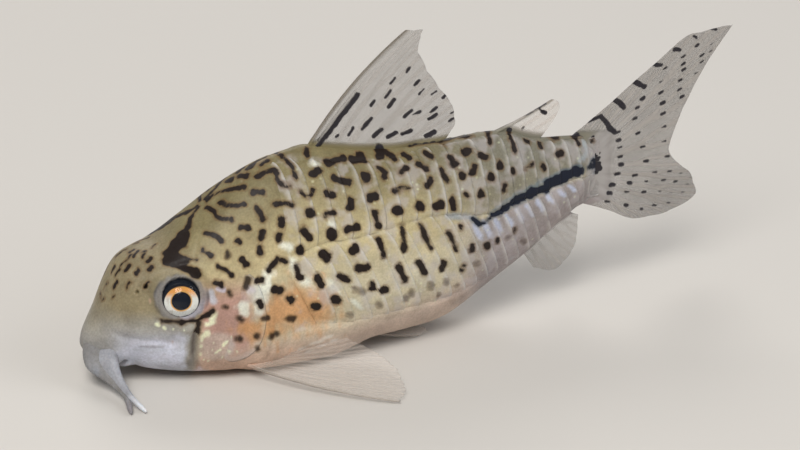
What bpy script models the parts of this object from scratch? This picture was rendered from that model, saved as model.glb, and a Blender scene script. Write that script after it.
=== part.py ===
"""A spotted corydoras catfish resting on the ground, life size.

Metres, +Z up, nose towards -X, ground at z = 0. Design sizes are in millimetres along the fish:
x counts back from the tip of the snout, y is the fish's right, z is the height above the ground.
"""

import math

import bmesh
import bpy
from mathutils import Vector

MM = 0.001
GAP = 0.25  # clear width of the thin cuts between neighbouring pieces

# The lines of the body, as (distance back from the snout, size).
SNOUT_HEIGHT = 3.4
BODY_LENGTH = 50.0
BACK_LINE = (
    (0.0, 5.8), (0.5, 6.2), (1.0, 6.8), (1.6, 7.5), (2.6, 9.2), (3.6, 10.5), (4.6, 11.15), (5.6, 11.5), (6.8, 11.85),
    (8.2, 12.6), (10.8, 14.4), (12.6, 15.8), (14.9, 17.2), (17.3, 18.25), (19.1, 18.7), (20.8, 19.0), (23.0, 18.5),
    (26.0, 17.9), (29.9, 17.5), (34.5, 17.6), (37.7, 17.8), (39.9, 17.6), (41.9, 16.8), (43.3, 16.4),
    (45.5, 16.2), (50.0, 15.7),
)
BELLY_LINE = (
    (0.0, 1.3), (1.0, 0.8), (2.0, 0.85), (2.9, 1.1), (4.0, 1.0), (5.7, 0.6), (8.4, 0.25), (11.0, 0.1),
    (13.0, 0.0), (14.5, -0.3), (21.5, -0.3), (23.5, 0.2), (26.0, 0.85), (31.0, 0.85), (33.0, 1.1),
    (34.5, 1.6), (36.5, 2.6), (39.2, 4.1), (41.4, 5.4), (43.1, 6.7), (45.2, 8.2), (46.9, 9.0), (48.4, 9.4),
    (50.0, 9.6),
)
HALF_WIDTH = (
    (0.0, 2.4), (1.4, 3.05), (2.8, 3.75), (4.5, 4.55), (7.0, 5.35), (10.0, 6.0), (14.0, 6.4), (18.0, 6.5),
    (21.5, 6.3), (26.0, 5.9), (31.0, 5.1), (36.0, 3.9), (40.0, 2.9), (44.0, 2.1), (47.5, 1.5), (49.0, 1.05),
    (50.0, 0.6),
)
WIDEST_HEIGHT = (
    (0.0, 3.6), (2.0, 4.4), (4.0, 5.2), (8.0, 5.8), (14.0, 5.8), (22.0, 6.4), (31.0, 7.8), (40.0, 10.4),
    (50.0, 12.6),
)
ROOF_POWER = ((0.0, 1.95), (4.0, 2.1), (9.0, 2.1), (15.0, 1.75), (22.0, 1.6), (32.0, 1.8), (50.0, 2.0))
FLOOR_POWER = (
    (0.0, 2.0), (4.0, 2.6), (9.0, 3.4), (13.0, 3.8), (24.0, 3.6), (32.0, 3.0), (38.0, 2.3), (50.0, 2.0),
)
NOSE_ROUNDING = 4.2  # length over which the snout closes to its tip
BODY_RINGS = 46
RING_POINTS = 30

# Where the body is parted, as the x of each cut at the ground and how far it leans back per mm of height.
GILL_CUT = (14.8, 0.10)
STALK_CUT = (36.6, 0.12)

EYE = (8.08, 3.75, 7.95)
EYE_RADIUS = 2.0
GILL_COVER = (12.5, 6.1)  # centre, seen from the side
GILL_COVER_RADII = (2.6, 4.2)
GILL_COVER_LEAN = math.radians(-14)
GILL_COVER_TAPER = 0.25  # how much narrower it is at the top
GILL_COVER_THICKNESS = 0.7

# The tail swings a little to the fish's right, its lower lobe furthest.
SWAY_START = 38.0
SWAY_LENGTH = 25.0
SWAY = 2.2
LOWER_LOBE_SWAY = 3.6

FIN_EDGE = 0.5  # thickness of a fin at its rim
FIN_ROOT = 0.8

# Colour and roughness of each kind of piece, by the start of its name.
PAINTS = (
    ("gill_cover", (0.62, 0.42, 0.28), 0.3),
    ("eye", (0.02, 0.02, 0.025), 0.05),
    ("barbel", (0.62, 0.58, 0.58), 0.4),
    ("head", (0.42, 0.38, 0.27), 0.35),
    ("tail_stalk", (0.50, 0.46, 0.34), 0.35),
    ("trunk", (0.56, 0.50, 0.34), 0.35),
    ("", (0.55, 0.50, 0.44), 0.35),
)


def smoothstep(value):
    value = min(1.0, max(0.0, value))
    return value * value * (3 - 2 * value)


def sway(x, z):
    """How far the tail is swung aside at this place."""
    share = max(0.0, (x - SWAY_START) / SWAY_LENGTH)
    low = smoothstep((11.5 - z) / 6.0) * smoothstep((x - 50.0) / 6.0)
    return share * share * (SWAY + LOWER_LOBE_SWAY * low)


def slopes_of(points):
    """Slopes of a smooth curve through the points that never overshoots them."""
    steps = [(b[1] - a[1]) / (b[0] - a[0]) for a, b in zip(points, points[1:])]
    slopes = [steps[0]]
    for before, after in zip(steps, steps[1:]):
        slopes.append(0.0 if before * after <= 0 else 2 * before * after / (before + after))
    return slopes + [steps[-1]]


def curve(points):
    """A function that follows the points smoothly."""
    slopes = slopes_of(points)

    def value(x):
        x = min(points[-1][0], max(points[0][0], x))
        last = len(points) - 2
        i = min(last, max(0, sum(1 for p in points if p[0] <= x) - 1))
        (x0, v0), (x1, v1) = points[i], points[i + 1]
        width = x1 - x0
        t = (x - x0) / width
        rise = v1 - v0
        bend = slopes[i] * width - rise
        unbend = rise - slopes[i + 1] * width
        return v0 + t * rise + t * (1 - t) * ((1 - t) * bend + t * unbend)

    return value


back = curve(BACK_LINE)
belly = curve(BELLY_LINE)
half_width = curve(HALF_WIDTH)
widest = curve(WIDEST_HEIGHT)
roof_power = curve(ROOF_POWER)
floor_power = curve(FLOOR_POWER)


def nose(x):
    """0 at the tip of the snout and 1 where it is full, along a quarter ellipse."""
    share = min(1.0, max(0.0, x / NOSE_ROUNDING))
    return math.sqrt(1 - (1 - share) ** 2)


def body_point(x, turn, grow=0.0):
    """A point of the skin: turn runs from -90 degrees at the belly to 90 at the back, on either flank."""
    full = nose(x)
    middle = SNOUT_HEIGHT + (widest(x) - SNOUT_HEIGHT) * full
    up = SNOUT_HEIGHT + (back(x) - SNOUT_HEIGHT) * full - middle + grow
    down = middle - SNOUT_HEIGHT - (belly(x) - SNOUT_HEIGHT) * full + grow
    power = roof_power(x) if math.sin(turn) >= 0 else floor_power(x)
    out = abs(math.cos(turn)) ** (2 / power)
    rise = abs(math.sin(turn)) ** (2 / power)
    side = 1 if math.cos(turn) >= 0 else -1
    y = side * (half_width(x) * full + grow) * out
    z = middle + rise * (up if math.sin(turn) >= 0 else -down)
    return Vector((x, y + sway(x, z), max(0.0, z) if not grow else z))


def mesh_object(name, points, faces):
    """A node with its own material, from points in millimetres."""
    colour, roughness = next(paint[1:] for paint in PAINTS if name.startswith(paint[0]))
    mesh = bpy.data.meshes.new(name)
    mesh.from_pydata([Vector(p) * MM for p in points], [], faces)
    made = bpy.data.objects.new(name, mesh)
    bpy.context.scene.collection.objects.link(made)
    shape = bmesh.new()
    shape.from_mesh(mesh)
    bmesh.ops.remove_doubles(shape, verts=shape.verts, dist=0.00001)
    bmesh.ops.recalc_face_normals(shape, faces=shape.faces)
    shape.to_mesh(mesh)
    shape.free()
    mesh.shade_smooth()
    mesh.set_sharp_from_angle(angle=math.radians(40))
    paint = bpy.data.materials.new(name)
    paint.use_nodes = True
    shader = paint.node_tree.nodes["Principled BSDF"]
    shader.inputs["Base Color"].default_value = (*colour, 1)
    shader.inputs["Roughness"].default_value = roughness
    mesh.materials.append(paint)
    return made


def tube(rings):
    """Points and faces of a closed skin over rings that all have the same number of points."""
    count = len(rings[0])
    points = [p for ring in rings for p in ring]
    faces = []
    for i in range(len(rings) - 1):
        for j in range(count):
            k = (j + 1) % count
            faces.append((i * count + j, i * count + k, (i + 1) * count + k, (i + 1) * count + j))
    faces.append(tuple(range(count))[::-1])
    faces.append(tuple(range((len(rings) - 1) * count, len(rings) * count)))
    return points, faces


def whole_body(name, grow=0.0, front=0.03, rear=BODY_LENGTH):
    """The skin from snout to tail as one closed shape, with its rings closer together at the snout."""
    rings = []
    for i in range(BODY_RINGS + 1):
        share = i / BODY_RINGS
        x = front + (rear - front) * (0.35 * share + 0.65 * share**1.9)
        turns = [2 * math.pi * j / RING_POINTS - math.pi / 2 for j in range(RING_POINTS)]
        rings.append([body_point(x, turn, grow) for turn in turns])
    if grow > 0:
        for ring, shift in ((rings[0], -grow), (rings[-1], grow)):
            for point in ring:
                point.x += shift
    return mesh_object(name, *tube(rings))


def hide(guide):
    guide.hide_render = True
    guide.display_type = "WIRE"
    return guide


def cut(piece, cutter, operation="DIFFERENCE"):
    """Cuts a piece with a hidden guide at once, so that later cuts work on the result."""
    change = piece.modifiers.new("cut", "BOOLEAN")
    change.operation = operation
    change.solver = "EXACT"
    change.object = cutter
    bpy.context.view_layer.update()
    graph = bpy.context.evaluated_depsgraph_get()
    done = bpy.data.meshes.new_from_object(piece.evaluated_get(graph))
    piece.modifiers.clear()
    piece.data = done
    return piece


def leaning_slab(name, front, rear, lean, gap_front, gap_rear):
    """A block between two leaning planes, each pulled in by half a cut where gap is 1."""
    half, low, high = 12.0, -3.0, 30.0
    points = []
    for x, sign, gap in ((front, 1, gap_front), (rear, -1, gap_rear)):
        x += sign * gap * GAP / 2
        for y, z in ((-half, low), (half, low), (half, high), (-half, high)):
            points.append((x + lean[0 if sign > 0 else 1] * z, y, z))
    faces = [(0, 1, 2, 3), (7, 6, 5, 4), (0, 4, 5, 1), (1, 5, 6, 2), (2, 6, 7, 3), (3, 7, 4, 0)]
    return hide(mesh_object(name, points, faces))


def parted_body():
    """The head, trunk and tail stalk, as one body parted by two thin leaning cuts."""
    ends = (-2.0, BODY_LENGTH + 2.0)
    cuts = (
        ("head", ends[0], GILL_CUT[0], (0.0, GILL_CUT[1]), 0, 1),
        ("trunk", GILL_CUT[0], STALK_CUT[0], (GILL_CUT[1], STALK_CUT[1]), 1, 1),
        ("tail_stalk", STALK_CUT[0], ends[1], (STALK_CUT[1], 0.0), 1, 0),
    )
    for name, front, rear, lean, gap_front, gap_rear in cuts:
        piece = whole_body(name)
        if name == "head":
            head_fittings(piece)
        cut(piece, leaning_slab("slab_" + name, front, rear, lean, gap_front, gap_rear), "INTERSECT")


def ball(name, centre, radii, segments=16):
    """A closed ellipsoid."""
    shape = bmesh.new()
    bmesh.ops.create_uvsphere(shape, u_segments=segments, v_segments=segments * 2 // 3, radius=1.0)
    points = [(centre[0] + v.co.x * radii[0], centre[1] + v.co.y * radii[1], centre[2] + v.co.z * radii[2])
              for v in shape.verts]
    faces = [tuple(v.index for v in face.verts) for face in shape.faces]
    shape.free()
    return mesh_object(name, points, faces)


def gill_cover_post(name, side, grow, depth):
    """A leaning elliptic post into the cheek that ends at a depth below the skin."""
    core = hide(whole_body("core_" + name, -depth, 6.0, 20.0))
    rings = []
    for y in (10.0 * side, 2.0 * side):
        ring = []
        for j in range(24):
            turn = 2 * math.pi * j / 24
            taper = 1 - GILL_COVER_TAPER * math.sin(turn)
            along = (GILL_COVER_RADII[0] * taper + grow) * math.cos(turn)
            up = (GILL_COVER_RADII[1] + grow) * math.sin(turn)
            x = GILL_COVER[0] + along * math.cos(GILL_COVER_LEAN) - up * math.sin(GILL_COVER_LEAN)
            z = GILL_COVER[1] + along * math.sin(GILL_COVER_LEAN) + up * math.cos(GILL_COVER_LEAN)
            ring.append(Vector((x, y, z)))
        rings.append(ring)
    return hide(cut(mesh_object(name, *tube(rings)), core))


def head_fittings(head):
    """The eyes and the gill covers, let into the head with a thin cut round each."""
    for side, word in ((-1, "left"), (1, "right")):
        centre = (EYE[0], EYE[1] * side, EYE[2])
        cut(head, hide(ball("socket_" + word, centre, (EYE_RADIUS + GAP,) * 3)))
        ball("eye_" + word, centre, (EYE_RADIUS,) * 3)
        post = gill_cover_post("post_" + word, side, 0.0, GILL_COVER_THICKNESS)
        cut(whole_body("gill_cover_" + word), post, "INTERSECT")
        cut(head, gill_cover_post("recess_" + word, side, GAP, GILL_COVER_THICKNESS + GAP))


def fin(name, rays, root, rim, thick_root=FIN_ROOT, steps=7, bow=0.0, swayed=False, normal=(0, 1, 0)):
    """A thin fan. root(q) and rim(q) are the two ends of the ray at q, from 0 at the front to 1 at the rear."""
    normal = Vector(normal).normalized()
    sheets = ([], [])
    for i in range(rays + 1):
        q = i / rays
        start, end = Vector(root(q)), Vector(rim(q))
        across = (end - start).cross(normal)
        for j in range(steps + 1):
            r = j / steps
            middle = start.lerp(end, r) + across * (bow * 4 * r * (1 - r) * (1 - q))
            if swayed:
                middle.y += sway(middle.x, middle.z)
            thick = thick_root + (FIN_EDGE - thick_root) * r
            for sheet, side in zip(sheets, (-1, 1)):
                sheet.append(middle + normal * (side * thick / 2))
    width = steps + 1
    count = (rays + 1) * width
    faces = []
    for i in range(rays):
        for j in range(steps):
            a, b, c, d = i * width + j, i * width + j + 1, (i + 1) * width + j + 1, (i + 1) * width + j
            faces.append((a, b, c, d))
            faces.append((count + d, count + c, count + b, count + a))
    edge = [i * width for i in range(rays + 1)]
    edge += [rays * width + j for j in range(1, width)]
    edge += [i * width + steps for i in range(rays - 1, -1, -1)]
    edge += list(range(steps - 1, 0, -1))
    for a, b in zip(edge, edge[1:] + edge[:1]):
        faces.append((a, b, count + b, count + a))
    return mesh_object(name, sheets[0] + sheets[1], faces)


def along(points):
    """A function of q that follows places spaced evenly from q = 0 to 1, in any number of coordinates."""
    steps = len(points) - 1
    lines = [curve(tuple((i / steps, p[k]) for i, p in enumerate(points))) for k in range(3)]
    return lambda q: Vector([line(q) for line in lines])


DORSAL_ROOT = ((20.4, 0, 18.2), (23.5, 0, 17.4), (27.5, 0, 16.8), (30.6, 0, 16.6))
DORSAL_RIM = (
    (30.3, 0, 28.6), (31.95, 0, 28.35), (31.5, 0, 26.7), (32.3, 0, 24.6), (33.6, 0, 22.5), (34.7, 0, 20.8),
    (35.0, 0, 19.2), (34.2, 0, 17.9),
)
ADIPOSE_ROOT = ((37.4, 0, 17.2), (42.6, 0, 16.1))
ADIPOSE_RIM = ((44.3, 0, 19.95), (44.85, 0, 19.7), (45.05, 0, 19.1), (44.6, 0, 18.1), (43.8, 0, 17.1))
ANAL_ROOT = ((41.0, 0, 6.2), (44.8, 0, 9.0))
ANAL_RIM = ((42.7, 0, 3.6), (44.6, 0, 3.0), (46.2, 0, 4.2), (47.1, 0, 6.0), (47.2, 0, 8.2))
CAUDAL_ROOT = ((47.0, 0, 15.2), (49.2, 0, 14.4), (49.6, 0, 12.7), (49.2, 0, 10.9), (47.0, 0, 10.0))
CAUDAL_RIM = (
    (46.0, 0, 15.8), (49.9, 0, 18.5), (54.2, 0, 21.4), (58.6, 0, 23.95), (62.9, 0, 24.0), (58.6, 0, 18.4),
    (56.4, 0, 13.0), (58.9, 0, 9.9), (60.7, 0, 6.5), (57.2, 0, 5.6), (53.4, 0, 6.3), (50.3, 0, 8.0),
    (47.4, 0, 9.3),
)


def median_fins(envelope):
    """The four fins on the middle line, each cut to sit on the body's skin."""
    dorsal = fin("dorsal_fin", 14, along(DORSAL_ROOT), along(DORSAL_RIM), 0.9, bow=0.05)
    adipose = fin("adipose_fin", 6, along(ADIPOSE_ROOT), along(ADIPOSE_RIM), 0.8, 6, bow=-0.02, swayed=True)
    anal = fin("anal_fin", 6, along(ANAL_ROOT), along(ANAL_RIM), 0.7, 5, swayed=True)
    for piece in (dorsal, adipose, anal):
        cut(piece, envelope)


def caudal_fin(envelope):
    """The forked tail fin: its rays fan out of the end of the tail stalk."""
    cut(fin("caudal_fin", 36, along(CAUDAL_ROOT), along(CAUDAL_RIM), 0.9, 6, swayed=True), envelope)


PECTORAL_ROOT = ((12.9, 4.8, 1.3), (15.4, 5.5, 1.4))
PECTORAL_RIM = (
    (24.3, 15.1, 0.25), (25.5, 13.3, 0.6), (25.6, 11.3, 1.2), (24.4, 9.3, 2.3), (21.9, 7.8, 3.6),
)
PELVIC_ROOT = ((25.8, 3.2, 1.3), (27.6, 2.6, 1.3))
PELVIC_RIM = ((30.6, 3.2, 0.25), (31.6, 2.6, 0.3), (31.8, 1.9, 0.35), (30.8, 1.3, 0.4))


def paired_fins(envelope):
    """The pectoral and pelvic fins, spread on the ground at each side."""
    for side, word in ((-1, "left"), (1, "right")):
        for kind, root, rim, rays, bow in (
            ("pectoral", PECTORAL_ROOT, PECTORAL_RIM, 9, -0.06),
            ("pelvic", PELVIC_ROOT, PELVIC_RIM, 6, -0.05),
        ):
            placed = [tuple((x, y * side, z) for x, y, z in line) for line in (root, rim)]
            ends = [along(line) for line in placed]
            made = fin(f"{kind}_fin_{word}", rays, *ends, 0.7, 7, bow * side, normal=(0, 0, 1))
            for vertex in made.data.vertices:
                vertex.co.z = max(0.0, vertex.co.z)
            cut(made, envelope)


# The left barbels reach out over the ground, the right ones lie back along the cheek.
BARBELS = {
    "barbel_upper_left": (
        (1.4, -0.6, 3.0), (0.45, -2.6, 1.9), (1.2, -4.7, 0.9), (1.9, -7.0, 0.45), (1.75, -9.4, 0.25),
    ),
    "barbel_lower_left": (
        (3.2, -1.0, 3.7), (1.7, -3.3, 2.65), (2.0, -5.1, 1.7), (2.65, -7.1, 1.0), (3.1, -9.4, 0.25),
    ),
    "barbel_upper_right": (
        (2.1, 0.7, 3.1), (2.3, 3.0, 1.6), (3.6, 5.0, 0.95), (5.2, 6.4, 0.55), (7.2, 7.1, 0.25),
    ),
    "barbel_lower_right": (
        (3.4, 1.1, 3.7), (3.5, 3.8, 2.7), (5.0, 5.9, 1.8), (7.0, 7.5, 0.9), (9.2, 8.6, 0.25),
    ),
}
BARBEL_RADII = (0.55, 0.26)  # at the lip and at the tip


def barbels(envelope):
    """Two tapering barbels from each corner of the mouth, feeling over the ground."""
    for name, route in BARBELS.items():
        line = along(route)
        rings = []
        for i in range(13):
            r = i / 12
            place, ahead = line(r), line(min(1.0, r + 0.01)) - line(max(0.0, r - 0.01))
            across = ahead.cross(Vector((0, 0, 1))).normalized()
            upward = across.cross(ahead).normalized()
            radius = BARBEL_RADII[0] + (BARBEL_RADII[1] - BARBEL_RADII[0]) * r
            turns = [2 * math.pi * j / 8 for j in range(8)]
            ring = [place + (across * math.cos(t) + upward * math.sin(t)) * radius for t in turns]
            rings.append([Vector((p.x, p.y, max(0.0, p.z))) for p in ring])
        cut(mesh_object(name, *tube(rings)), envelope)


def centre_on_origin():
    """Moves every piece so that the origin is on the ground under the middle of the fish's box."""
    shown = [o for o in bpy.context.scene.objects if not o.hide_render]
    spread = [[(o.matrix_world @ v.co)[k] for o in shown for v in o.data.vertices] for k in range(2)]
    middle = Vector([(min(axis) + max(axis)) / 2 for axis in spread] + [0.0])
    for o in shown:
        for vertex in o.data.vertices:
            vertex.co -= middle


def main():
    for old in list(bpy.data.objects):
        bpy.data.objects.remove(old)
    parted_body()
    envelope = hide(whole_body("envelope", GAP))
    median_fins(envelope)
    caudal_fin(envelope)
    paired_fins(envelope)
    barbels(envelope)
    centre_on_origin()


main()
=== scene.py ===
# %% [markdown]
# # A spotted corydoras catfish, life size
#
# This notebook dresses a solid model of a small armoured catfish. The solid model, the frame, already
# says how long the fish is, how it lies and where each fin stands. Here it gets a skin, two rows of
# armour plates on each flank, rayed fins, wet eyes and its spots.
#
# All sizes are in millimetres along the fish: x counts back from the tip of the snout, y is the fish's
# right, z is the height above the ground. The last step of each piece turns them into metres.

# %% Load the frame
import math

import bpy
import numpy as np
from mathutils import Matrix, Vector


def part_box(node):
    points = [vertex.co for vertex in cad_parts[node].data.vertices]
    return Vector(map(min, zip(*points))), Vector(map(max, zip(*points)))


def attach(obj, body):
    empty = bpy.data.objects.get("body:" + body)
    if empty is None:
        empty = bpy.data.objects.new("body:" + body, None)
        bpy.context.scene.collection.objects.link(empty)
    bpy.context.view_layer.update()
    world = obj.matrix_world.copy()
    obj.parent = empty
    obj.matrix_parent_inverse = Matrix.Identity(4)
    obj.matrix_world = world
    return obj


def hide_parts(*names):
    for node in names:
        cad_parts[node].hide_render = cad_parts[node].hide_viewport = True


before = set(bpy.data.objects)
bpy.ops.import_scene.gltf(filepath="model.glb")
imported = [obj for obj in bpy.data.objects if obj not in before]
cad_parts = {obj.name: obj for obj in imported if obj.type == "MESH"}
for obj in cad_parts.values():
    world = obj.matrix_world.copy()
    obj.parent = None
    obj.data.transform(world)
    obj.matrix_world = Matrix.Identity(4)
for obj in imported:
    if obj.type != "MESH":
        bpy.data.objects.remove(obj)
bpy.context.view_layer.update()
MM = 0.001
SNOUT_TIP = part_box("head")[0][0]  # where x = 0 of the fish lies in the frame

# %% [markdown]
# ## Camera, ground and light
#
# A small fish is looked at from close by, but a short lens would swell its head. A long lens from a
# third of a metre away keeps its proportions. The light is soft and wide, as in a tent of white cloth,
# with one lamp stronger than the others so that wet skin gets clear highlights.

# %% Camera
VIEW_TURN = math.radians(20)  # how far the camera stands towards the head
VIEW_HEIGHT = math.radians(24)
VIEW_DISTANCE = 0.36
VIEW_CENTRE = Vector((-0.001635, 0.0, 0.00991))
LENS = 181.44

away = Vector((-math.sin(VIEW_TURN) * math.cos(VIEW_HEIGHT),
               -math.cos(VIEW_TURN) * math.cos(VIEW_HEIGHT),
               math.sin(VIEW_HEIGHT)))
camera_data = bpy.data.cameras.new("camera")
camera_data.lens = LENS
camera_data.clip_start = 0.01
camera = bpy.data.objects.new("camera", camera_data)
bpy.context.scene.collection.objects.link(camera)
camera.location = VIEW_CENTRE + away * VIEW_DISTANCE
camera.rotation_euler = away.to_track_quat("Z", "Y").to_euler()
bpy.context.scene.camera = camera
print("camera at", [round(v, 3) for v in camera.location])

# %% Ground and light
def plain_finish(name, colour, roughness):
    """A material of one colour."""
    made = bpy.data.materials.new(name)
    made.use_nodes = True
    shader = made.node_tree.nodes["Principled BSDF"]
    shader.inputs["Base Color"].default_value = (*colour, 1)
    shader.inputs["Roughness"].default_value = roughness
    return made


def deselect_all():
    for other in bpy.context.selected_objects:
        other.select_set(False)


def lamp(name, place, size, power, colour):
    """A soft square lamp that faces the middle of the fish."""
    data = bpy.data.lights.new(name, "AREA")
    data.size = size
    data.energy = power
    data.color = colour
    made = bpy.data.objects.new(name, data)
    made.location = place
    made.rotation_euler = (Vector(place) - Vector((0, 0, 0.008))).to_track_quat("Z", "Y").to_euler()
    bpy.context.scene.collection.objects.link(made)


deselect_all()
bpy.ops.mesh.primitive_plane_add(size=4, location=(0, 0, 0))
ground = bpy.context.object
ground.name = "ground"
ground.data.materials.append(plain_finish("pale_ground", (0.60, 0.57, 0.53), 0.9))

lamp("key_light", (-0.20, -0.26, 0.42), 0.26, 2.2, (1.0, 0.98, 0.95))
lamp("fill_light", (0.34, -0.22, 0.26), 0.30, 0.7, (0.93, 0.96, 1.0))
lamp("rim_light", (0.05, 0.40, 0.30), 0.25, 0.9, (1.0, 0.98, 0.95))
world = bpy.data.worlds.new("room")
world.use_nodes = True
room_light = world.node_tree.nodes["Background"]
room_light.inputs["Color"].default_value = (0.92, 0.95, 1.0, 1)
room_light.inputs["Strength"].default_value = 0.26
bpy.context.scene.world = world
bpy.context.scene.view_settings.view_transform = "Standard"

# %% [markdown]
# ## The lines of the body
#
# A fish's body is drawn with a few lines seen from the side and from above: the back, the belly, the
# half width and the height at which it is widest. Each is a short list of stations. One smooth curve
# runs through each list and never swings past its stations, so the form stays fair.
#
# Across the body every section is a rounded box: the power says how square it is. The back is rounder
# and the belly, on which this fish rests, is nearly flat.

# %% Lines
BODY_LENGTH = 50.0
SNOUT_HEIGHT = 3.4
NOSE_ROUNDING = 4.2
BACK_LINE = (
    (0.0, 5.8), (0.5, 6.2), (1.0, 6.8), (1.6, 7.5), (2.6, 9.2), (3.6, 10.5), (4.6, 11.15), (5.6, 11.5),
    (6.8, 11.85), (8.2, 12.6), (10.8, 14.4), (12.6, 15.8), (14.9, 17.2), (17.3, 18.25), (19.1, 18.7),
    (20.8, 19.0), (23.0, 18.5), (26.0, 17.9), (29.9, 17.5), (34.5, 17.6), (37.7, 17.8), (39.9, 17.6),
    (41.9, 16.8), (43.3, 16.4), (45.5, 16.2), (50.0, 15.7),
)
BELLY_LINE = (
    (0.0, 1.3), (1.0, 0.8), (2.0, 0.85), (2.9, 1.1), (4.0, 1.0), (5.7, 0.6), (8.4, 0.25), (11.0, 0.1),
    (13.0, 0.0), (14.5, -0.3), (21.5, -0.3), (23.5, 0.2), (26.0, 0.85), (31.0, 0.85), (33.0, 1.1),
    (34.5, 1.6), (36.5, 2.6), (39.2, 4.1), (41.4, 5.4), (43.1, 6.7), (45.2, 8.2), (46.9, 9.0),
    (48.4, 9.4), (50.0, 9.6),
)
HALF_WIDTH = (
    (0.0, 2.4), (1.4, 3.05), (2.8, 3.75), (4.5, 4.55), (7.0, 5.35), (10.0, 6.0), (14.0, 6.4), (18.0, 6.5),
    (21.5, 6.3), (26.0, 5.9), (31.0, 5.1), (36.0, 3.9), (40.0, 2.9), (44.0, 2.1), (47.5, 1.5),
    (49.0, 1.05), (50.0, 0.6),
)
WIDEST_HEIGHT = (
    (0.0, 3.6), (2.0, 4.4), (4.0, 5.2), (8.0, 5.8), (14.0, 5.8), (22.0, 6.4), (31.0, 7.8), (40.0, 10.4),
    (50.0, 12.6),
)
ROOF_POWER = ((0.0, 1.95), (4.0, 2.1), (9.0, 2.1), (15.0, 1.75), (22.0, 1.6), (32.0, 1.8), (50.0, 2.0))
FLOOR_POWER = (
    (0.0, 2.0), (4.0, 2.6), (9.0, 3.4), (13.0, 3.8), (24.0, 3.6), (32.0, 3.0), (38.0, 2.3), (50.0, 2.0),
)


def fair_curve(stations):
    """A smooth function through the stations that works on whole arrays at once."""
    places, sizes = np.array(stations, float).T
    steps = np.diff(sizes) / np.diff(places)
    slopes = [steps[0]]
    for before, after in zip(steps, steps[1:]):
        slopes.append(0.0 if before * after <= 0 else 2 * before * after / (before + after))
    slopes = np.array(slopes + [steps[-1]])

    def value(x):
        x = np.clip(np.asarray(x, float), places[0], places[-1])
        i = np.clip(np.searchsorted(places, x, side="right") - 1, 0, len(places) - 2)
        width = places[i + 1] - places[i]
        t = (x - places[i]) / width
        rise = sizes[i + 1] - sizes[i]
        bend = slopes[i] * width - rise
        unbend = rise - slopes[i + 1] * width
        return sizes[i] + t * rise + t * (1 - t) * ((1 - t) * bend + t * unbend)

    return value


back, belly, half_width, widest, roof_power, floor_power = (
    fair_curve(line) for line in (BACK_LINE, BELLY_LINE, HALF_WIDTH, WIDEST_HEIGHT, ROOF_POWER, FLOOR_POWER)
)
print("highest", round(float(back(np.linspace(0, BODY_LENGTH, 501)).max()), 1), "mm")
print("widest", round(2 * float(half_width(18)), 1), "mm")

# %% Sections
def smoothstep(value):
    """0 up to 0, 1 from 1 on, and a smooth rise between them."""
    value = np.clip(value, 0, 1)
    return value * value * (3 - 2 * value)


SWING_STARTS = 38.0  # x from which the tail is swung aside
SWING_AT_TIP = 2.2
LOW_LOBE_SWING = 3.6  # how much further the lower lobe swings
STALK_MIDDLE = 12.7  # height of the middle of the tail's root
WEDGE_STARTS = 46.6


def tail_swing(x, z):
    """How far the tail is swung to the fish's right. The lower lobe of the fin swings furthest."""
    share = np.maximum(0, (x - SWING_STARTS) / 25.0)
    low = smoothstep((11.5 - z) / 6.0) * smoothstep((x - BODY_LENGTH) / 6.0)
    return share**2 * (SWING_AT_TIP + LOW_LOBE_SWING * low)


def body_point(x, turn):
    """Points of the body's surface. turn is an angle: 90 degrees on the back, -90 on the belly.

    At its end the tail thins to a wedge, over which the fin's rays take hold.
    """
    x, turn = np.broadcast_arrays(np.asarray(x, float), np.asarray(turn, float))
    full = np.sqrt(1 - (1 - np.clip(x / NOSE_ROUNDING, 0, 1)) ** 2)
    middle = SNOUT_HEIGHT + (widest(x) - SNOUT_HEIGHT) * full
    up = SNOUT_HEIGHT + (back(x) - SNOUT_HEIGHT) * full - middle
    down = middle - SNOUT_HEIGHT - (belly(x) - SNOUT_HEIGHT) * full
    power = np.where(np.sin(turn) >= 0, roof_power(x), floor_power(x))
    out = np.abs(np.cos(turn)) ** (2 / power)
    rise = np.abs(np.sin(turn)) ** (2 / power)
    z = middle + rise * np.where(np.sin(turn) >= 0, up, -down)
    towards_edge = np.clip(np.abs(z - STALK_MIDDLE) / 3.3, 0, 1)
    wedge = 1 - 0.98 * smoothstep((x - WEDGE_STARTS + 1.1 * towards_edge**2) / 2.6)
    y = np.where(np.cos(turn) >= 0, 1, -1) * half_width(x) * full * out * wedge
    return np.stack([x, y + tail_swing(x, z), np.maximum(0, z)], -1)


print("tip of the tail fin swung", round(float(tail_swing(63.0, 15.0)), 1), "mm aside")

# %% [markdown]
# ## Finding places on the flank
#
# Marks and plates follow the skin, so they need an address on it. The address used here is the one a
# taxidermist would use: so many millimetres back from the snout, and so many millimetres down over the
# flank from the ridge of the back, measured with a tape that lies on the skin.
#
# The tape is laid once over many sections, and later addresses are read off between them.

# %% Tape measure
SECTIONS = np.linspace(0, BODY_LENGTH, 501)
SHARES = np.linspace(0, 1, 201)


def lay_tape():
    """For each section, its girth from ridge to belly, and the turn at even shares of it."""
    turns = np.radians(np.concatenate([np.linspace(90, 80, 80, endpoint=False), np.linspace(80, -90, 700)]))
    girths, table = [], []
    for x in SECTIONS:
        ring = body_point(np.full_like(turns, max(x, 0.001)), turns)
        reach = np.concatenate([[0], np.cumsum(np.linalg.norm(np.diff(ring, axis=0), axis=1))])
        girths.append(reach[-1])
        table.append(np.interp(SHARES * reach[-1], reach, turns))
    return np.array(girths), np.array(table)


GIRTHS, TURNS = lay_tape()
print("tape laid over", len(GIRTHS), "sections, the longest", round(float(GIRTHS.max()), 1), "mm")

# %% Addresses on the flank
def girth(x):
    """Length of the flank from the ridge of the back to the middle of the belly."""
    return np.interp(x, SECTIONS, GIRTHS)


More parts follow.
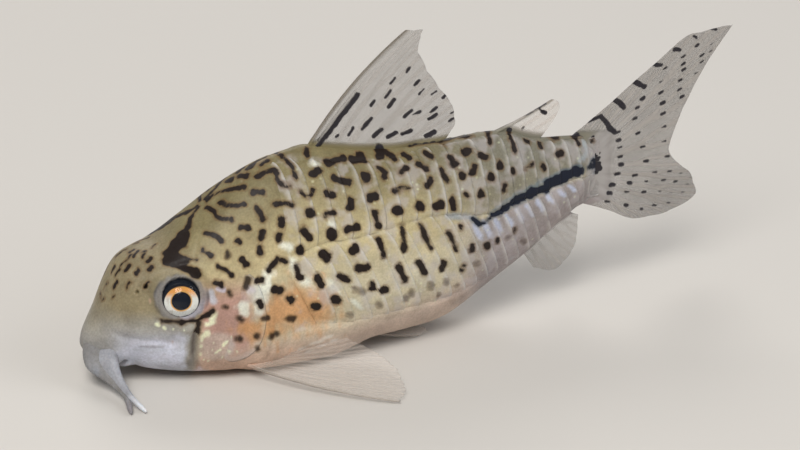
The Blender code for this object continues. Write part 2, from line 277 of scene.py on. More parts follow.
def flank_turn(x, share):
    """The turn of the place at this share of the girth, read between the measured sections."""
    x, share = np.broadcast_arrays(np.asarray(x, float), np.asarray(share, float))
    column = np.clip(x / BODY_LENGTH, 0, 1) * (len(SECTIONS) - 1)
    row = np.clip(share, 0, 1) * (len(SHARES) - 1)
    i = np.minimum(column.astype(int), len(SECTIONS) - 2)
    j = np.minimum(row.astype(int), len(SHARES) - 2)
    u, v = column - i, row - j
    return ((TURNS[i, j] * (1 - u) + TURNS[i + 1, j] * u) * (1 - v)
            + (TURNS[i, j + 1] * (1 - u) + TURNS[i + 1, j + 1] * u) * v)


def mirrored(points, side):
    """Turns points of the right flank into the left flank's, before the tail is swung."""
    points = np.array(points, float)
    swing = tail_swing(points[..., 0], points[..., 2])
    points[..., 1] = (points[..., 1] - swing) * side + swing
    return points


def on_flank(x, down, side, lift=0.0):
    """Places x mm back and `down` mm down over the flank, lifted off it. side is -1 for the left flank."""
    x, down, lift = np.broadcast_arrays(*(np.asarray(v, float) for v in (x, down, lift)))
    share = down / girth(x)
    place = body_point(x, flank_turn(x, share))
    ahead = body_point(x + 0.1, flank_turn(x + 0.1, down / girth(x + 0.1))) - place
    below = body_point(x, flank_turn(x, share + 0.004)) - body_point(x, flank_turn(x, share - 0.004))
    outward = np.cross(ahead, below)
    outward /= np.maximum(np.linalg.norm(outward, axis=-1, keepdims=True), 1e-9)
    return mirrored(place + outward * lift[..., None], side)


SPOT_DROP = fair_curve((
    (0.0, 0.0), (3.0, 0.1), (6.0, 0.35), (9.0, 0.65), (12.0, 1.0), (15.0, 1.25), (18.0, 1.42),
    (21.0, 1.55), (24.0, 1.5), (27.0, 1.22), (30.0, 0.95), (33.0, 0.66), (36.0, 0.4), (40.0, 0.2),
    (44.0, 0.03), (50.0, 0.0),
))


def settled(x, down):
    """The pattern was laid out on a form with a fuller back. This draws it up onto this one."""
    drop = SPOT_DROP(x)
    back_by = 0.42 * drop * np.sin(math.pi * np.clip(down / 13.0, 0, 1) ** 0.8)
    up_by = drop * (smoothstep((down + 0.4) / 4.9) + 0.02 * np.maximum(down - 8.0, 0))
    return x + back_by, np.maximum(down - up_by, 0)


def settled_curve(stations):
    """A fair curve through settled addresses."""
    return fair_curve([[float(v) for v in settled(x, down)] for x, down in stations])


def down_at_height(x, z):
    """How far down the flank the height z is met: an address seen from the side made a taped one."""
    shares = np.linspace(0, 1, 401)
    heights = body_point(x, flank_turn(x, shares))[:, 2]
    return float(np.interp(-z, -heights, shares) * girth(x))


def downs_at_heights(xs, zs):
    """The same for whole arrays of addresses."""
    flat = [down_at_height(x, z) for x, z in zip(np.ravel(xs), np.ravel(zs))]
    return np.reshape(flat, np.shape(xs))


print("girth of one flank at the dorsal fin", round(float(girth(21)), 1), "mm")

# %% [markdown]
# ## Grids laid over forms
#
# Skin, plates and fins are thin sheets that bend with the body. Each starts as a plain grid from the
# Add menu. Its points are then laid over the form, row by row, and points that meet are merged. This
# keeps the faces small squares that run along the fish, and the grid brings a tidy UV map with it.
#
# A value such as "how far is this point from the nearest spot" can be stored on the points as an
# attribute, and the material reads it.

# %% Laying a grid
MERGE_DISTANCE = 0.0000005  # metres


def in_frame(points):
    """Millimetres along the fish to metres in the frame."""
    return np.asarray(points, float) * MM + np.array([SNOUT_TIP, 0.0, 0.0])


def store(mesh, key, array):
    """Keeps one number or one colour for each point of a mesh."""
    array = np.asarray(array, np.float32)
    if array.ndim == 3:
        colours = np.concatenate([array, np.ones((*array.shape[:2], 1), np.float32)], -1)
        mesh.attributes.new(key, "FLOAT_COLOR", "POINT").data.foreach_set("color", colours.ravel())
    else:
        mesh.attributes.new(key, "FLOAT", "POINT").data.foreach_set("value", array.ravel())


def move_points(mesh, points):
    """Moves a mesh's points to places given in millimetres along the fish."""
    mesh.vertices.foreach_set("co", in_frame(points).astype(np.float32).ravel())


def laid_grid(name, points, values):
    """A grid laid over rows × columns of points. values holds arrays of the same rows and columns."""
    rows, columns = points.shape[:2]
    deselect_all()
    bpy.ops.mesh.primitive_grid_add(x_subdivisions=columns - 1, y_subdivisions=rows - 1, size=1)
    piece = bpy.context.object
    piece.name = name
    move_points(piece.data, points)
    piece.data.uv_layers[0].name = "OFBake"
    for key, array in values.items():
        store(piece.data, key, array)
    bpy.ops.object.mode_set(mode="EDIT")
    bpy.ops.mesh.select_all(action="SELECT")
    bpy.ops.mesh.remove_doubles(threshold=MERGE_DISTANCE)
    bpy.ops.mesh.normals_make_consistent(inside=False)
    bpy.ops.object.mode_set(mode="OBJECT")
    bpy.ops.object.shade_smooth()
    return piece


def joined(name, pieces):
    """One object from several."""
    deselect_all()
    for piece in pieces:
        piece.select_set(True)
    bpy.context.view_layer.objects.active = pieces[0]
    bpy.ops.object.join()
    pieces[0].name = name
    return pieces[0]


def triangles(pieces):
    """How many triangles each piece has."""
    return [sum(len(face.vertices) - 2 for face in piece.data.polygons) for piece in pieces]


# %% [markdown]
# ## Distances to lines
#
# A spot, a stripe or a fold is a short brush stroke on the skin: a few places joined by a line, with a
# radius. The distance from every point of a piece to every stroke says where the stroke is, sharp at
# any resolution. The same strokes mark the skin and the plates over it, so they always agree.

# %% Strokes
def stroke_distance(points, line, reach):
    """Distance from each point to a line through a few places, where it is less than reach."""
    flat = points.reshape(-1, 3)
    line = np.asarray(line, float).reshape(-1, 3)
    nearest = np.full(len(flat), reach)
    low, high = line.min(0) - reach, line.max(0) + reach
    close = np.all((flat > low) & (flat < high), axis=1)
    near = flat[close]
    best = np.full(len(near), reach)
    if len(line) == 1:
        best = np.linalg.norm(near - line[0], axis=1)
    for start, end in zip(line, line[1:]):
        way = end - start
        share = np.clip((near - start) @ way / max(way @ way, 1e-9), 0, 1)
        best = np.minimum(best, np.linalg.norm(near - start - share[:, None] * way, axis=1))
    nearest[close] = np.minimum(best, reach)
    return nearest.reshape(points.shape[:-1])


def side_line(places, side):
    """A line on the flank through places given as seen from the side: (x, z)."""
    return np.array([on_flank(x, down_at_height(x, z), side) for x, z in places])


def plain_line(places, side):
    """A line on the flank through taped places, (x, down), as they are."""
    return np.array([on_flank(x, down, side) for x, down in places])


def taped_line(places, side):
    """A line on the flank through places of the pattern: (x, down)."""
    return np.array([on_flank(*settled(x, down), side) for x, down in places])


# %% [markdown]
# ## The spots
#
# This catfish is covered with small dark spots. They are round or oval on the flank, run together into
# short bars below the middle line and into worm-like lines on the nape, and get smaller and paler
# towards the belly. A black band comes down from the crown over the eye, black blotches sit at the
# root of the dorsal fin, and a blue-black stripe runs along the tail.
#
# Noise could scatter dots like these, but the bars, the band and the stripe have to sit in their own
# places, so they are listed one by one: first the radius, then taped places. Spots of one kind stand
# together. The other flank wears the same pattern, with most strokes moved a little.

# %% Spots on the flank
NAPE_LINES = (
    (0.24, (11.7, 0.2), (12.6, 0.6), (13.2, 1.3), (13.8, 2.1), (14.3, 2.5)),
    (0.22, (11.3, 1.1), (11.4, 2.2), (11.6, 3.3), (11.9, 4.2), (12.5, 4.8)),
    (0.24, (12.2, 2.3), (12.5, 3.2), (13.1, 3.9), (13.8, 4.4)),
    (0.26, (15.7, 2.3), (16.4, 2.2), (17.0, 2.6), (17.1, 3.0)),
    (0.24, (18.3, 0.4), (18.6, 2.8), (18.6, 4.4)), (0.30, (14.6, 0.5), (15.0, 1.1)),
    (0.26, (16.5, 0.7), (17.1, 0.6)), (0.28, (14.9, 3.9), (15.6, 4.5)),
    (0.20, (17.1, 3.9), (17.2, 4.6), (17.8, 4.9)), (0.22, (10.4, 4.0), (10.9, 4.7), (11.4, 5.8)),
    (0.22, (9.9, 5.2), (10.4, 6.2)), (0.26, (13.2, 6.0), (13.7, 6.5)), (0.22, (12.7, 6.9), (12.9, 7.2)),
    (0.25, (14.8, 5.4), (15.2, 6.6)), (0.26, (16.4, 5.9), (17.1, 6.2), (17.9, 6.6)),
    (0.20, (18.8, 5.9), (19.4, 6.5), (19.9, 6.0)), (0.30, (13.9, 0.0), (14.0, 0.2)),
    (0.28, (15.6, 0.0), (15.8, 0.2)),
)
FLANK_SPOTS = (
    (0.34, (20.2, 4.7), (20.8, 4.3)), (0.33, (22.1, 4.9), (23.3, 5.2)), (0.42, (25.1, 4.5), (25.1, 4.7)),
    (0.34, (21.1, 6.4), (21.6, 6.5)), (0.34, (25.1, 6.5), (25.7, 6.3)), (0.35, (23.1, 7.5), (23.3, 6.9)),
    (0.38, (19.3, 7.9), (19.5, 8.0)), (0.27, (20.8, 8.3), (21.5, 8.1)), (0.27, (14.9, 7.6), (14.8, 8.0)),
    (0.30, (14.6, 8.9), (14.6, 9.1)), (0.34, (16.8, 7.6), (16.7, 7.9)), (0.27, (16.4, 8.6), (16.3, 9.0)),
    (0.26, (13.0, 8.7), (13.3, 9.3)), (0.19, (10.8, 7.5), (11.3, 8.2), (11.9, 9.1)),
    (0.22, (10.5, 8.6), (11.0, 9.1)), (0.32, (18.6, 9.1), (19.2, 10.1)), (0.26, (25.4, 7.8), (25.6, 9.0)),
    (0.36, (22.8, 9.5), (23.6, 9.2)), (0.44, (21.3, 10.0), (21.3, 10.2)),
    (0.34, (18.3, 10.6), (18.3, 10.9)), (0.42, (23.2, 11.4), (23.4, 11.2)),
    (0.28, (25.6, 10.2), (26.1, 11.6)), (0.42, (20.5, 11.9), (20.9, 12.3)),
    (0.30, (18.0, 12.1), (18.3, 13.1)), (0.30, (14.4, 13.4), (14.6, 13.8)),
    (0.34, (16.0, 13.2), (16.4, 13.5)), (0.34, (19.9, 13.8), (20.2, 14.6)),
    (0.30, (21.9, 14.0), (22.6, 14.2)), (0.36, (23.8, 13.0), (24.6, 12.8)),
    (0.30, (17.2, 14.7), (17.4, 15.0)), (0.30, (25.0, 14.4), (25.0, 14.7)),
    (0.36, (26.0, 14.9), (26.2, 14.9)), (0.36, (19.5, 16.4), (19.8, 16.5)),
    (0.34, (21.4, 16.3), (21.6, 16.3)), (0.26, (26.6, 3.4), (27.1, 3.9), (26.9, 4.4)),
    (0.27, (28.6, 4.0), (29.2, 3.4)), (0.34, (30.5, 3.1), (31.0, 3.6)), (0.23, (31.6, 1.5), (32.0, 2.1)),
    (0.22, (29.6, 1.2), (29.9, 2.0)), (0.23, (27.5, 5.7), (28.2, 5.4), (29.0, 5.3)),
    (0.40, (27.5, 7.4), (27.7, 7.4)), (0.40, (29.7, 7.0), (29.9, 7.0)), (0.38, (31.5, 7.0), (31.8, 6.9)),
    (0.30, (33.1, 6.5), (33.2, 7.3)), (0.26, (32.5, 3.9), (32.9, 4.8)), (0.30, (30.8, 5.2), (31.2, 4.8)),
    (0.34, (33.6, 2.5), (33.9, 3.3)), (0.26, (34.4, 4.3), (34.4, 4.5)), (0.29, (35.5, 4.2), (35.8, 3.7)),
    (0.33, (35.3, 2.1), (35.5, 1.9)), (0.28, (36.6, 2.6), (37.1, 2.9)), (0.31, (37.3, 4.7), (37.3, 4.9)),
    (0.30, (38.3, 3.6), (38.3, 3.8)), (0.24, (39.6, 4.1), (39.6, 4.3)), (0.32, (36.1, 6.0), (36.1, 6.2)),
    (0.24, (34.5, 6.1), (34.6, 6.3)), (0.24, (38.6, 5.5), (38.5, 6.0)), (0.18, (41.0, 3.7), (41.7, 3.0)),
    (0.25, (42.8, 2.9), (42.9, 3.1)), (0.32, (44.5, 1.8), (44.7, 1.8)), (0.26, (41.5, 0.8), (41.7, 0.8)),
    (0.19, (42.9, 0.7), (42.9, 1.2)), (0.30, (44.4, 0.1), (44.6, 0.1)), (0.26, (46.4, 0.1), (46.8, 0.75)),
    (0.18, (48.4, 0.5), (48.4, 0.7)),
)
FLANK_BARS = (
    (0.27, (27.9, 8.9), (28.1, 10.9)), (0.24, (29.8, 8.6), (30.2, 10.0), (30.8, 10.9)),
    (0.25, (32.5, 9.5), (33.0, 10.1), (33.4, 11.3)), (0.21, (33.9, 8.9), (33.9, 9.2)),
    (0.32, (35.0, 11.0), (35.0, 11.3)), (0.27, (36.7, 11.1), (36.7, 11.4)),
    (0.22, (37.8, 10.7), (37.8, 10.9)), (0.20, (39.6, 9.8), (39.6, 10.0)),
    (0.34, (27.6, 12.5), (28.2, 13.7)), (0.30, (29.5, 12.1), (30.2, 13.2)),
    (0.34, (32.1, 12.4), (32.0, 12.8)), (0.26, (34.3, 12.8), (34.1, 13.2)),
)
DORSAL_BLOTCHES = (
    (0.36, (21.9, 3.2), (22.6, 2.8), (23.5, 2.2)), (0.36, (24.5, 2.2), (25.5, 2.5), (25.4, 1.2)),
    (0.36, (27.8, 0.1), (27.2, 1.5)), (0.36, (27.8, 0.1), (28.4, 1.9)), (0.20, (20.2, 2.1), (20.6, 0.8)),
    (0.15, (30.6, 0.1), (33.0, 0.2), (35.0, 0.1), (36.5, 0.3)), (0.20, (33.4, 0.3), (33.6, 0.9)),
    (0.22, (37.8, 1.5), (38.1, 0.0)), (0.22, (40.1, 2.3), (39.9, 1.0), (40.1, 0.0)),
)
GILL_DOTS = (
    (0.21, (14.8, 13.8), (15.0, 13.9)), (0.24, (12.6, 12.5), (12.8, 12.8)),
    (0.25, (17.1, 15.0), (17.5, 15.2)), (0.23, (14.1, 15.0), (14.3, 15.2)),
    (0.25, (15.5, 15.8), (15.9, 15.8)), (0.16, (14.3, 16.3), (14.3, 16.5)),
    (0.25, (12.3, 14.2), (12.6, 14.4)), (0.17, (11.9, 9.4), (11.9, 9.7)),
    (0.17, (11.4, 10.4), (11.6, 10.6)), (0.19, (12.1, 6.2), (12.1, 6.5)),
    (0.22, (13.6, 9.4), (13.3, 9.9)),
)
HUMERAL_MARK = ((0.25, (15.4, 11.2), (16.2, 10.6), (16.9, 11.2)), (0.22, (14.3, 11.4), (14.8, 11.7)))
STRIPE = (
    (0.24, (35.3, 7.9), (35.9, 8.5), (36.5, 8.4), (37.4, 7.9)), (0.26, (37.4, 7.9), (38.2, 7.7)),
    (0.34, (38.5, 7.4), (39.4, 6.9)), (0.42, (39.8, 6.7), (41.2, 5.8)), (0.45, (41.4, 5.6), (43.0, 4.9)),
    (0.55, (43.3, 4.5), (44.8, 4.0)), (0.50, (45.0, 3.85), (46.2, 3.5)),
    (0.22, (46.7, 3.35), (46.9, 3.4)), (0.26, (48.1, 2.9), (48.5, 3.1)), (0.14, (47.6, 3.1), (48.5, 2.4)),
    (0.20, (48.6, 2.5), (48.8, 3.7)),
)
FAINT_SPOTS = (
    (0.30, (30.7, 14.4), (30.9, 14.6)), (0.22, (32.4, 14.2), (32.5, 14.3)),
    (0.34, (28.4, 15.6), (28.8, 15.2)), (0.24, (35.6, 12.8), (35.8, 12.8)),
    (0.18, (31.7, 15.6), (31.8, 15.6)), (0.18, (33.6, 14.7), (33.7, 14.7)),
    (0.24, (23.4, 15.0), (24.1, 15.2)), (0.24, (25.6, 16.3), (25.7, 16.5)),
    (0.20, (38.8, 10.6), (38.9, 10.6)), (0.20, (40.6, 10.9), (40.8, 11.0)),
    (0.22, (22.6, 17.6), (22.9, 17.6)),
)
print(len(NAPE_LINES), "lines on the nape and", len(FLANK_SPOTS), "spots on each flank")

# %% Marks of the head
SNOUT_DOTS = (  # radius, places seen from the side
    (0.11, (3.7, 10.45), (4.1, 10.8)), (0.16, (4.7, 11.1), (5.2, 11.35)),
    (0.10, (4.25, 10.9), (4.55, 11.1)), (0.15, (5.4, 11.2), (5.65, 11.35)),
    (0.20, (5.75, 11.05), (6.0, 11.2)), (0.17, (3.8, 10.25), (4.15, 10.6)),
    (0.15, (3.1, 9.6), (3.4, 10.05)), (0.19, (4.5, 10.25), (4.75, 10.45)),
    (0.18, (5.65, 10.5), (5.9, 10.7)), (0.12, (2.4, 8.35), (2.6, 8.75)),
    (0.17, (2.75, 8.75), (3.05, 9.25)), (0.19, (3.55, 9.1), (3.8, 9.5)),
    (0.17, (4.95, 9.3), (5.25, 9.65)), (0.14, (2.48, 7.95), (2.62, 8.1)),
    (0.10, (1.95, 7.3), (2.05, 7.45)), (0.12, (6.4, 11.65), (6.9, 11.85)),
    (0.10, (5.5, 11.4), (5.9, 11.5)),
)
EYE_BAND = (  # radius, taped places as they are
    (0.22, (10.9, 0.2), (10.4, 0.4)), (0.30, (10.2, 0.5), (9.7, 1.2), (9.3, 1.6)),
    (0.62, (9.0, 1.8), (8.3, 2.1)), (0.58, (8.8, 2.4), (8.0, 2.3), (7.6, 2.6)),
    (0.44, (7.6, 2.6), (7.3, 2.9)), (0.44, (7.3, 3.1), (8.0, 4.0), (8.7, 5.0), (9.2, 5.8)),
    (0.46, (7.8, 3.1), (8.5, 4.1)), (0.13, (8.0, 3.2), (8.7, 3.9), (9.5, 4.8)),
)
NAVY = -0.2  # kept as a mark's faintness, it tells the finish to tint the mark navy blue
# Dark strokes in the grooves below the eye and before the gill cover: partly dark pigment, partly painted
# shade.
CHEEK_GROOVE_INK_AND_SHADE = (  # radius, faint, places seen from the side
    (0.18, 0.15, (6.0, 6.45), (7.6, 6.35)),
    (0.23, 0.05, (7.6, 6.3), (9.0, 6.35), (9.7, 6.75), (10.2, 7.2)), (0.28, 0.1, (9.1, 6.0), (8.95, 5.3)),
    (0.24, 0.62, (8.9, 5.2), (8.6, 4.2), (8.5, 3.5)),
)
print(len(SNOUT_DOTS), "dots on the snout")

# %% All marks
def marks_for(side):
    """Every dark stroke of one flank as (radius, line, how faint).

    Each group says how its places are laid, how faint it is and how far the right flank's are moved.
    """
    hand = np.random.default_rng(7)
    marks, tone = [], np.random.default_rng(17)
    for group, lay, faint, loose in (
        (NAPE_LINES, taped_line, 0, 0.22), (FLANK_SPOTS, taped_line, 0, 0.22),
        (FLANK_BARS, taped_line, 0.05, 0), (DORSAL_BLOTCHES, taped_line, 0, 0),
        (HUMERAL_MARK, taped_line, 0, 0), (FAINT_SPOTS, taped_line, 0.45, 0.22),
        (SNOUT_DOTS, side_line, 0, 0.10), (GILL_DOTS, plain_line, 0.18, 0.22),
        (EYE_BAND, plain_line, 0, 0), (STRIPE, plain_line, NAVY, 0),
    ):
        for radius, *places in group:
            faint_here = faint + (0 if faint == NAVY else tone.uniform(0.0, 0.03))
            moved = np.array(places)
            if side > 0 and loose:
                moved = moved + hand.normal(0, loose, 2)
                moved[:, 1] = np.maximum(moved[:, 1], 0.1)
            marks.append((radius, lay(moved, side), faint_here))
    for radius, faint, *places in CHEEK_GROOVE_INK_AND_SHADE:
        marks.append((radius, side_line(places, side), faint))
    return marks


MARKS = marks_for(-1) + marks_for(1)
MARK_REACH = 1.2  # how far from a mark its distance is still measured
STROKE_FULLNESS, END_FULLNESS = 0.93, 1.14  # shares of a stroke's radius along it and at its ends


def mark_values(points):
    """For each point, the distance to the edge of the nearest mark and how faint that mark is.

    The strokes waver a little and are fuller at their ends, as brushed ones are.
    """
    points = points + 0.08 * np.stack([ripple(points, 4.0, seed) for seed in (5, 6, 7)], -1)
    distance = np.full(points.shape[:-1], MARK_REACH)
    faint = np.zeros(points.shape[:-1])
    for radius, line, paleness in MARKS:
        here = stroke_distance(points, line, MARK_REACH) - STROKE_FULLNESS * radius
        for end in (line[0], line[-1]):
            here = np.minimum(here, stroke_distance(points, end, MARK_REACH) - END_FULLNESS * radius)
        nearer = here < distance
        distance[nearer] = here[nearer]
        faint[nearer] = paleness
    return distance, faint


print(len(MARKS), "marks on both flanks")

# %% [markdown]
# ## Colours of the skin
#
# The ground colour under the spots changes slowly: olive on the back, warm gold and cream on the
# flank, pink-white below, a pale blue-grey lower snout and a rosy gill cover. A few soft touches lie on
# top: painted silver sheen at the shoulder, painted steel-blue sheen along the stripe, bars of ice-blue
# painted sheen below it, painted highlights and shade on the lips, painted glints on the cheek and gill
# cover, and painted shade in the eye's socket.
#
# A texture of noise can't know where the cheek is. So the broad colours are worked out per point from
# the taped address, and the material adds the fine grain later.

# %% Broad colours
OLIVE = (0.215, 0.180, 0.090)
GOLD = (0.500, 0.415, 0.235)
CREAM = (0.640, 0.578, 0.435)
BELLY_PINK = (0.550, 0.430, 0.350)
TAIL_GREY = (0.195, 0.185, 0.145)
TAIL_PINK = (0.300, 0.262, 0.262)
TAIL_END = (0.365, 0.340, 0.322)
SNOUT_OLIVE = (0.265, 0.220, 0.130)
CHEEK_BLUE = (0.640, 0.665, 0.755)
CHEEK_GREY = (0.430, 0.430, 0.450)
SNOUT_GREY = (0.335, 0.315, 0.270)
ROSE = (0.460, 0.255, 0.215)
ORANGE = (0.600, 0.310, 0.130)
PEACH = (0.640, 0.455, 0.340)
# Silver: a painted silvery sheen on the shoulder and the flank.
SILVER_SHEEN = (0.800, 0.800, 0.680)
# Steel blue: a painted blue sheen along the tail stripe.
STEEL_BLUE_SHEEN = (0.185, 0.215, 0.225)
PALE_BLUE = (0.345, 0.385, 0.400)
# Ice blue: bars of painted sheen below the tail stripe.
ICE_BLUE_SHEEN = (0.540, 0.570, 0.700)
# Glint cream: painted glints, small pale highlights on the cheek and the gill cover.
GLINT_CREAM = (0.760, 0.770, 0.540)
ORBIT_GREY = (0.225, 0.220, 0.225)
ORBIT_LILAC = (0.36, 0.35, 0.42)
# Round the eye: a thin line of painted shade along the fold, and the socket darkened with painted shade.
ORBIT_RIM_SHADE = (0.020, 0.026, 0.050)
SOCKET_SHADE = (0.012, 0.014, 0.022)
# Lip colours: pale painted highlights on the lips' ridges, and painted shade under them and in the cheek's
# groove.
LIP_HIGHLIGHT = (0.66, 0.66, 0.76)
LIP_SHADE = (0.20, 0.17, 0.17)
LIP_END_GREY = (0.250, 0.242, 0.236)
UNDER_CREAM = (0.62, 0.52, 0.44)
OPERCLE_BUFF = (0.50, 0.42, 0.36)
# Olive lies above the snout line and pale grey below it. The lobe of the cheek ends at an x for each height.
SNOUT_LINE = fair_curve(((0.0, 5.0), (2.5, 6.5), (5.0, 6.8), (8.0, 6.4), (10.0, 6.4)))
LOBE_END = fair_curve(((0.0, 8.6), (2.0, 8.3), (3.5, 8.2), (5.0, 8.3), (6.0, 7.3), (7.0, 6.0)))
STRIPE_LINE = settled_curve(((33.0, 8.2), (36.5, 8.2), (40.0, 6.8), (43.0, 4.9), (46.0, 3.9), (50.0, 3.2)))
print("the stripe ends", round(float(STRIPE_LINE(BODY_LENGTH)), 1), "mm down from the ridge of the back")

# %% Touches of colour and of painted sheen, highlights and shade
TOUCHES = [  # colour, radius, taped places
    (SILVER_SHEEN, 0.50, (17.6, 11.6), (18.6, 13.8)), (SILVER_SHEEN, 0.40, (20.6, 3.4), (20.7, 3.8)),
    (SILVER_SHEEN, 0.34, (21.2, 9.2), (21.4, 9.3)), (SILVER_SHEEN, 0.45, (19.0, 13.8), (19.3, 15.2)),
    (SILVER_SHEEN, 0.50, (21.0, 14.6), (21.6, 15.6)), (SILVER_SHEEN, 0.42, (16.6, 9.6), (17.4, 10.2)),
    (SILVER_SHEEN, 0.36, (23.2, 16.2), (23.8, 16.8)), (CREAM, 0.6, (29.2, 12.6), (29.8, 14.0)),
    (STEEL_BLUE_SHEEN, 0.22, (37.0, 8.0), (39.7, 6.3), (42.0, 4.85)),
    (STEEL_BLUE_SHEEN, 0.24, (42.0, 4.75), (43.8, 3.8), (46.8, 2.8)),
    (PALE_BLUE, 0.34, (47.4, 0.8), (47.7, 1.5), (47.2, 2.1), (46.5, 2.5)),
    (ORANGE, 2.60, (16.4, 15.4), (19.5, 16.6)), (ORANGE, 1.2, (13.2, 15.0), (14.2, 16.4)),
]
NEAR_TOUCHES = (  # colour, radius, taped places as they are
    (SILVER_SHEEN, 0.75, (15.4, 10.1), (15.1, 10.9)), (SILVER_SHEEN, 0.95, (15.0, 11.0), (14.7, 11.6)),
    (SILVER_SHEEN, 0.50, (14.6, 11.9), (14.4, 12.8)), (SILVER_SHEEN, 0.58, (12.9, 11.4), (13.0, 12.1)),
    ((0.270, 0.290, 0.300), 0.42, (32.8, 7.3), (34.9, 7.7)),
    ((0.58, 0.60, 0.66), 0.42, (10.3, 8.3), (10.4, 9.1)),
    ((0.60, 0.56, 0.66), 0.30, (10.9, 8.4), (11.4, 8.9)),
    ((0.66, 0.60, 0.62), 0.30, (13.6, 10.2), (13.9, 10.6)),
    # Two thin pale strokes low on the flank: painted highlights of the pectoral fin's inner rays.
    ((0.74, 0.68, 0.60), 0.15, (18.0, 18.5), (19.6, 18.3), (21.1, 18.0)),
    ((0.70, 0.64, 0.58), 0.12, (18.8, 19.1), (21.7, 18.3)),
)
# Painted highlights along the lips' ridges and lower edge, and painted shade under a ridge and in the groove.
LIP_LIGHT_AND_SHADE = (  # colour, radius, places seen from the side
    (LIP_HIGHLIGHT, 0.45, (3.6, 4.2), (5.0, 4.5), (6.8, 4.2)),
    (LIP_HIGHLIGHT, 0.35, (2.0, 3.2), (3.4, 3.2), (4.4, 3.3)),
    (LIP_HIGHLIGHT, 0.70, (4.8, 2.9), (6.0, 3.1), (7.2, 2.6)), (LIP_HIGHLIGHT, 0.26, (7.2, 5.0), (7.7, 4.8)),
    (LIP_HIGHLIGHT, 0.40, (3.6, 1.9), (7.0, 1.1), (10.0, 0.8)), (LIP_SHADE, 0.14, (4.2, 4.05), (6.0, 4.0)),
    (LIP_SHADE, 0.26, (8.6, 5.0), (8.5, 3.6), (8.3, 2.0)),
)
# Painted glints: small pale cream highlights on the cheek and along the gill cover.
GLINTS = (  # radius, places seen from the side
    (0.36, (10.2, 6.5), (10.4, 6.8)), (0.23, (9.8, 6.0), (10.2, 6.1)), (0.34, (9.45, 4.9), (9.7, 5.15)),
    (0.16, (9.3, 4.5)), (0.13, (9.2, 3.9)), (0.17, (9.2, 3.1)), (0.12, (9.5, 2.5)), (0.12, (9.9, 2.3)),
    (0.11, (10.5, 2.4)), (0.11, (11.1, 2.6)), (0.12, (11.7, 3.1)), (0.10, (9.8, 3.3)),
    (0.09, (10.2, 3.4)), (0.12, (10.5, 3.1), (10.9, 3.4)), (0.13, (11.2, 3.8), (11.5, 4.1)),
    (0.10, (11.9, 4.5)), (0.10, (12.4, 3.0)), (0.12, (12.7, 7.0)), (0.10, (10.3, 4.2)),
    (0.15, (5.5, 6.2), (5.7, 6.1)), (0.15, (6.1, 5.9), (6.2, 5.8)), (0.09, (6.9, 5.7)),
    (0.09, (7.8, 5.6)),
)
# Below the stripe, a row of bars of painted sheen where the plates' edges catch the light.
ICE_SHEEN_BARS = 10
for k in range(ICE_SHEEN_BARS):
    start = 35.25 + 1.12 * k
    beside = float(STRIPE_LINE(start)) + 1.25 - 0.05 * k
    TOUCHES.append((ICE_BLUE_SHEEN, 0.36 - 0.014 * k, (start, beside), (start + 0.62, beside + 1.15 - 0.08 * k)))

TOUCH_GROUPS = (  # how the places are laid, reach, strength, fullness, slope, touches
    (side_line, 2.0, 0.50, 1.00, 0.62, LIP_LIGHT_AND_SHADE), (taped_line, 6.0, 0.85, 1.25, 1.0, TOUCHES),
    (plain_line, 4.0, 0.85, 1.25, 1.0, NEAR_TOUCHES),
    (side_line, 2.0, 0.90, 1.35, 1.0, [(GLINT_CREAM, *glint) for glint in GLINTS]),
)
print(sum(len(group[-1]) for group in TOUCH_GROUPS), "touches of colour on each flank")

# %% Round the eye
EYE = np.array((8.08, 3.75, 7.95))
EYE_RADIUS = 2.0
EYE_AXIS = np.array((-0.22, 0.92, 0.33))
EYE_AXIS /= np.linalg.norm(EYE_AXIS)
EYE_OPENING = 1.66
SOCKET_DEPTH = 1.35  # how far behind the ball's front the hollow's floor lies
GAZE = np.array((-0.23, 0.965, 0.10))  # it looks a little down
GAZE /= np.linalg.norm(GAZE)


def round_the_eye(points, side):
    """Distance from the eye's axis, cosine of the angle from its top, and height along the axis."""
    axis = EYE_AXIS * (1, side, 1)
    top = np.array((0, 0, 1.0)) - axis * axis[2]
    offset = points - EYE * (1, side, 1)
    height = offset @ axis
    radial = np.linalg.norm(offset - height[..., None] * axis, axis=-1)
    return radial, (offset @ top) / np.linalg.norm(top) / np.maximum(radial, 1e-6), height


print("eye", 2 * EYE_RADIUS, "mm across in an opening of", 2 * EYE_OPENING, "mm")

# %% Laying the colours on
def mixed(colours, other, share):
    """Lays a share of another colour over the colours."""
    return colours + (np.asarray(other) - colours) * np.clip(share, 0, 1)[..., None]


def ripple(points, per_mm=3.0, seed=3):
    """A smooth unevenness between about -1 and 1."""
    hand = np.random.default_rng(seed)
    waves, shifts = hand.normal(0, per_mm, (9, 3)), hand.uniform(0, 2 * math.pi, 9)
    return np.sin(points @ waves.T + shifts).sum(-1) / 3.5


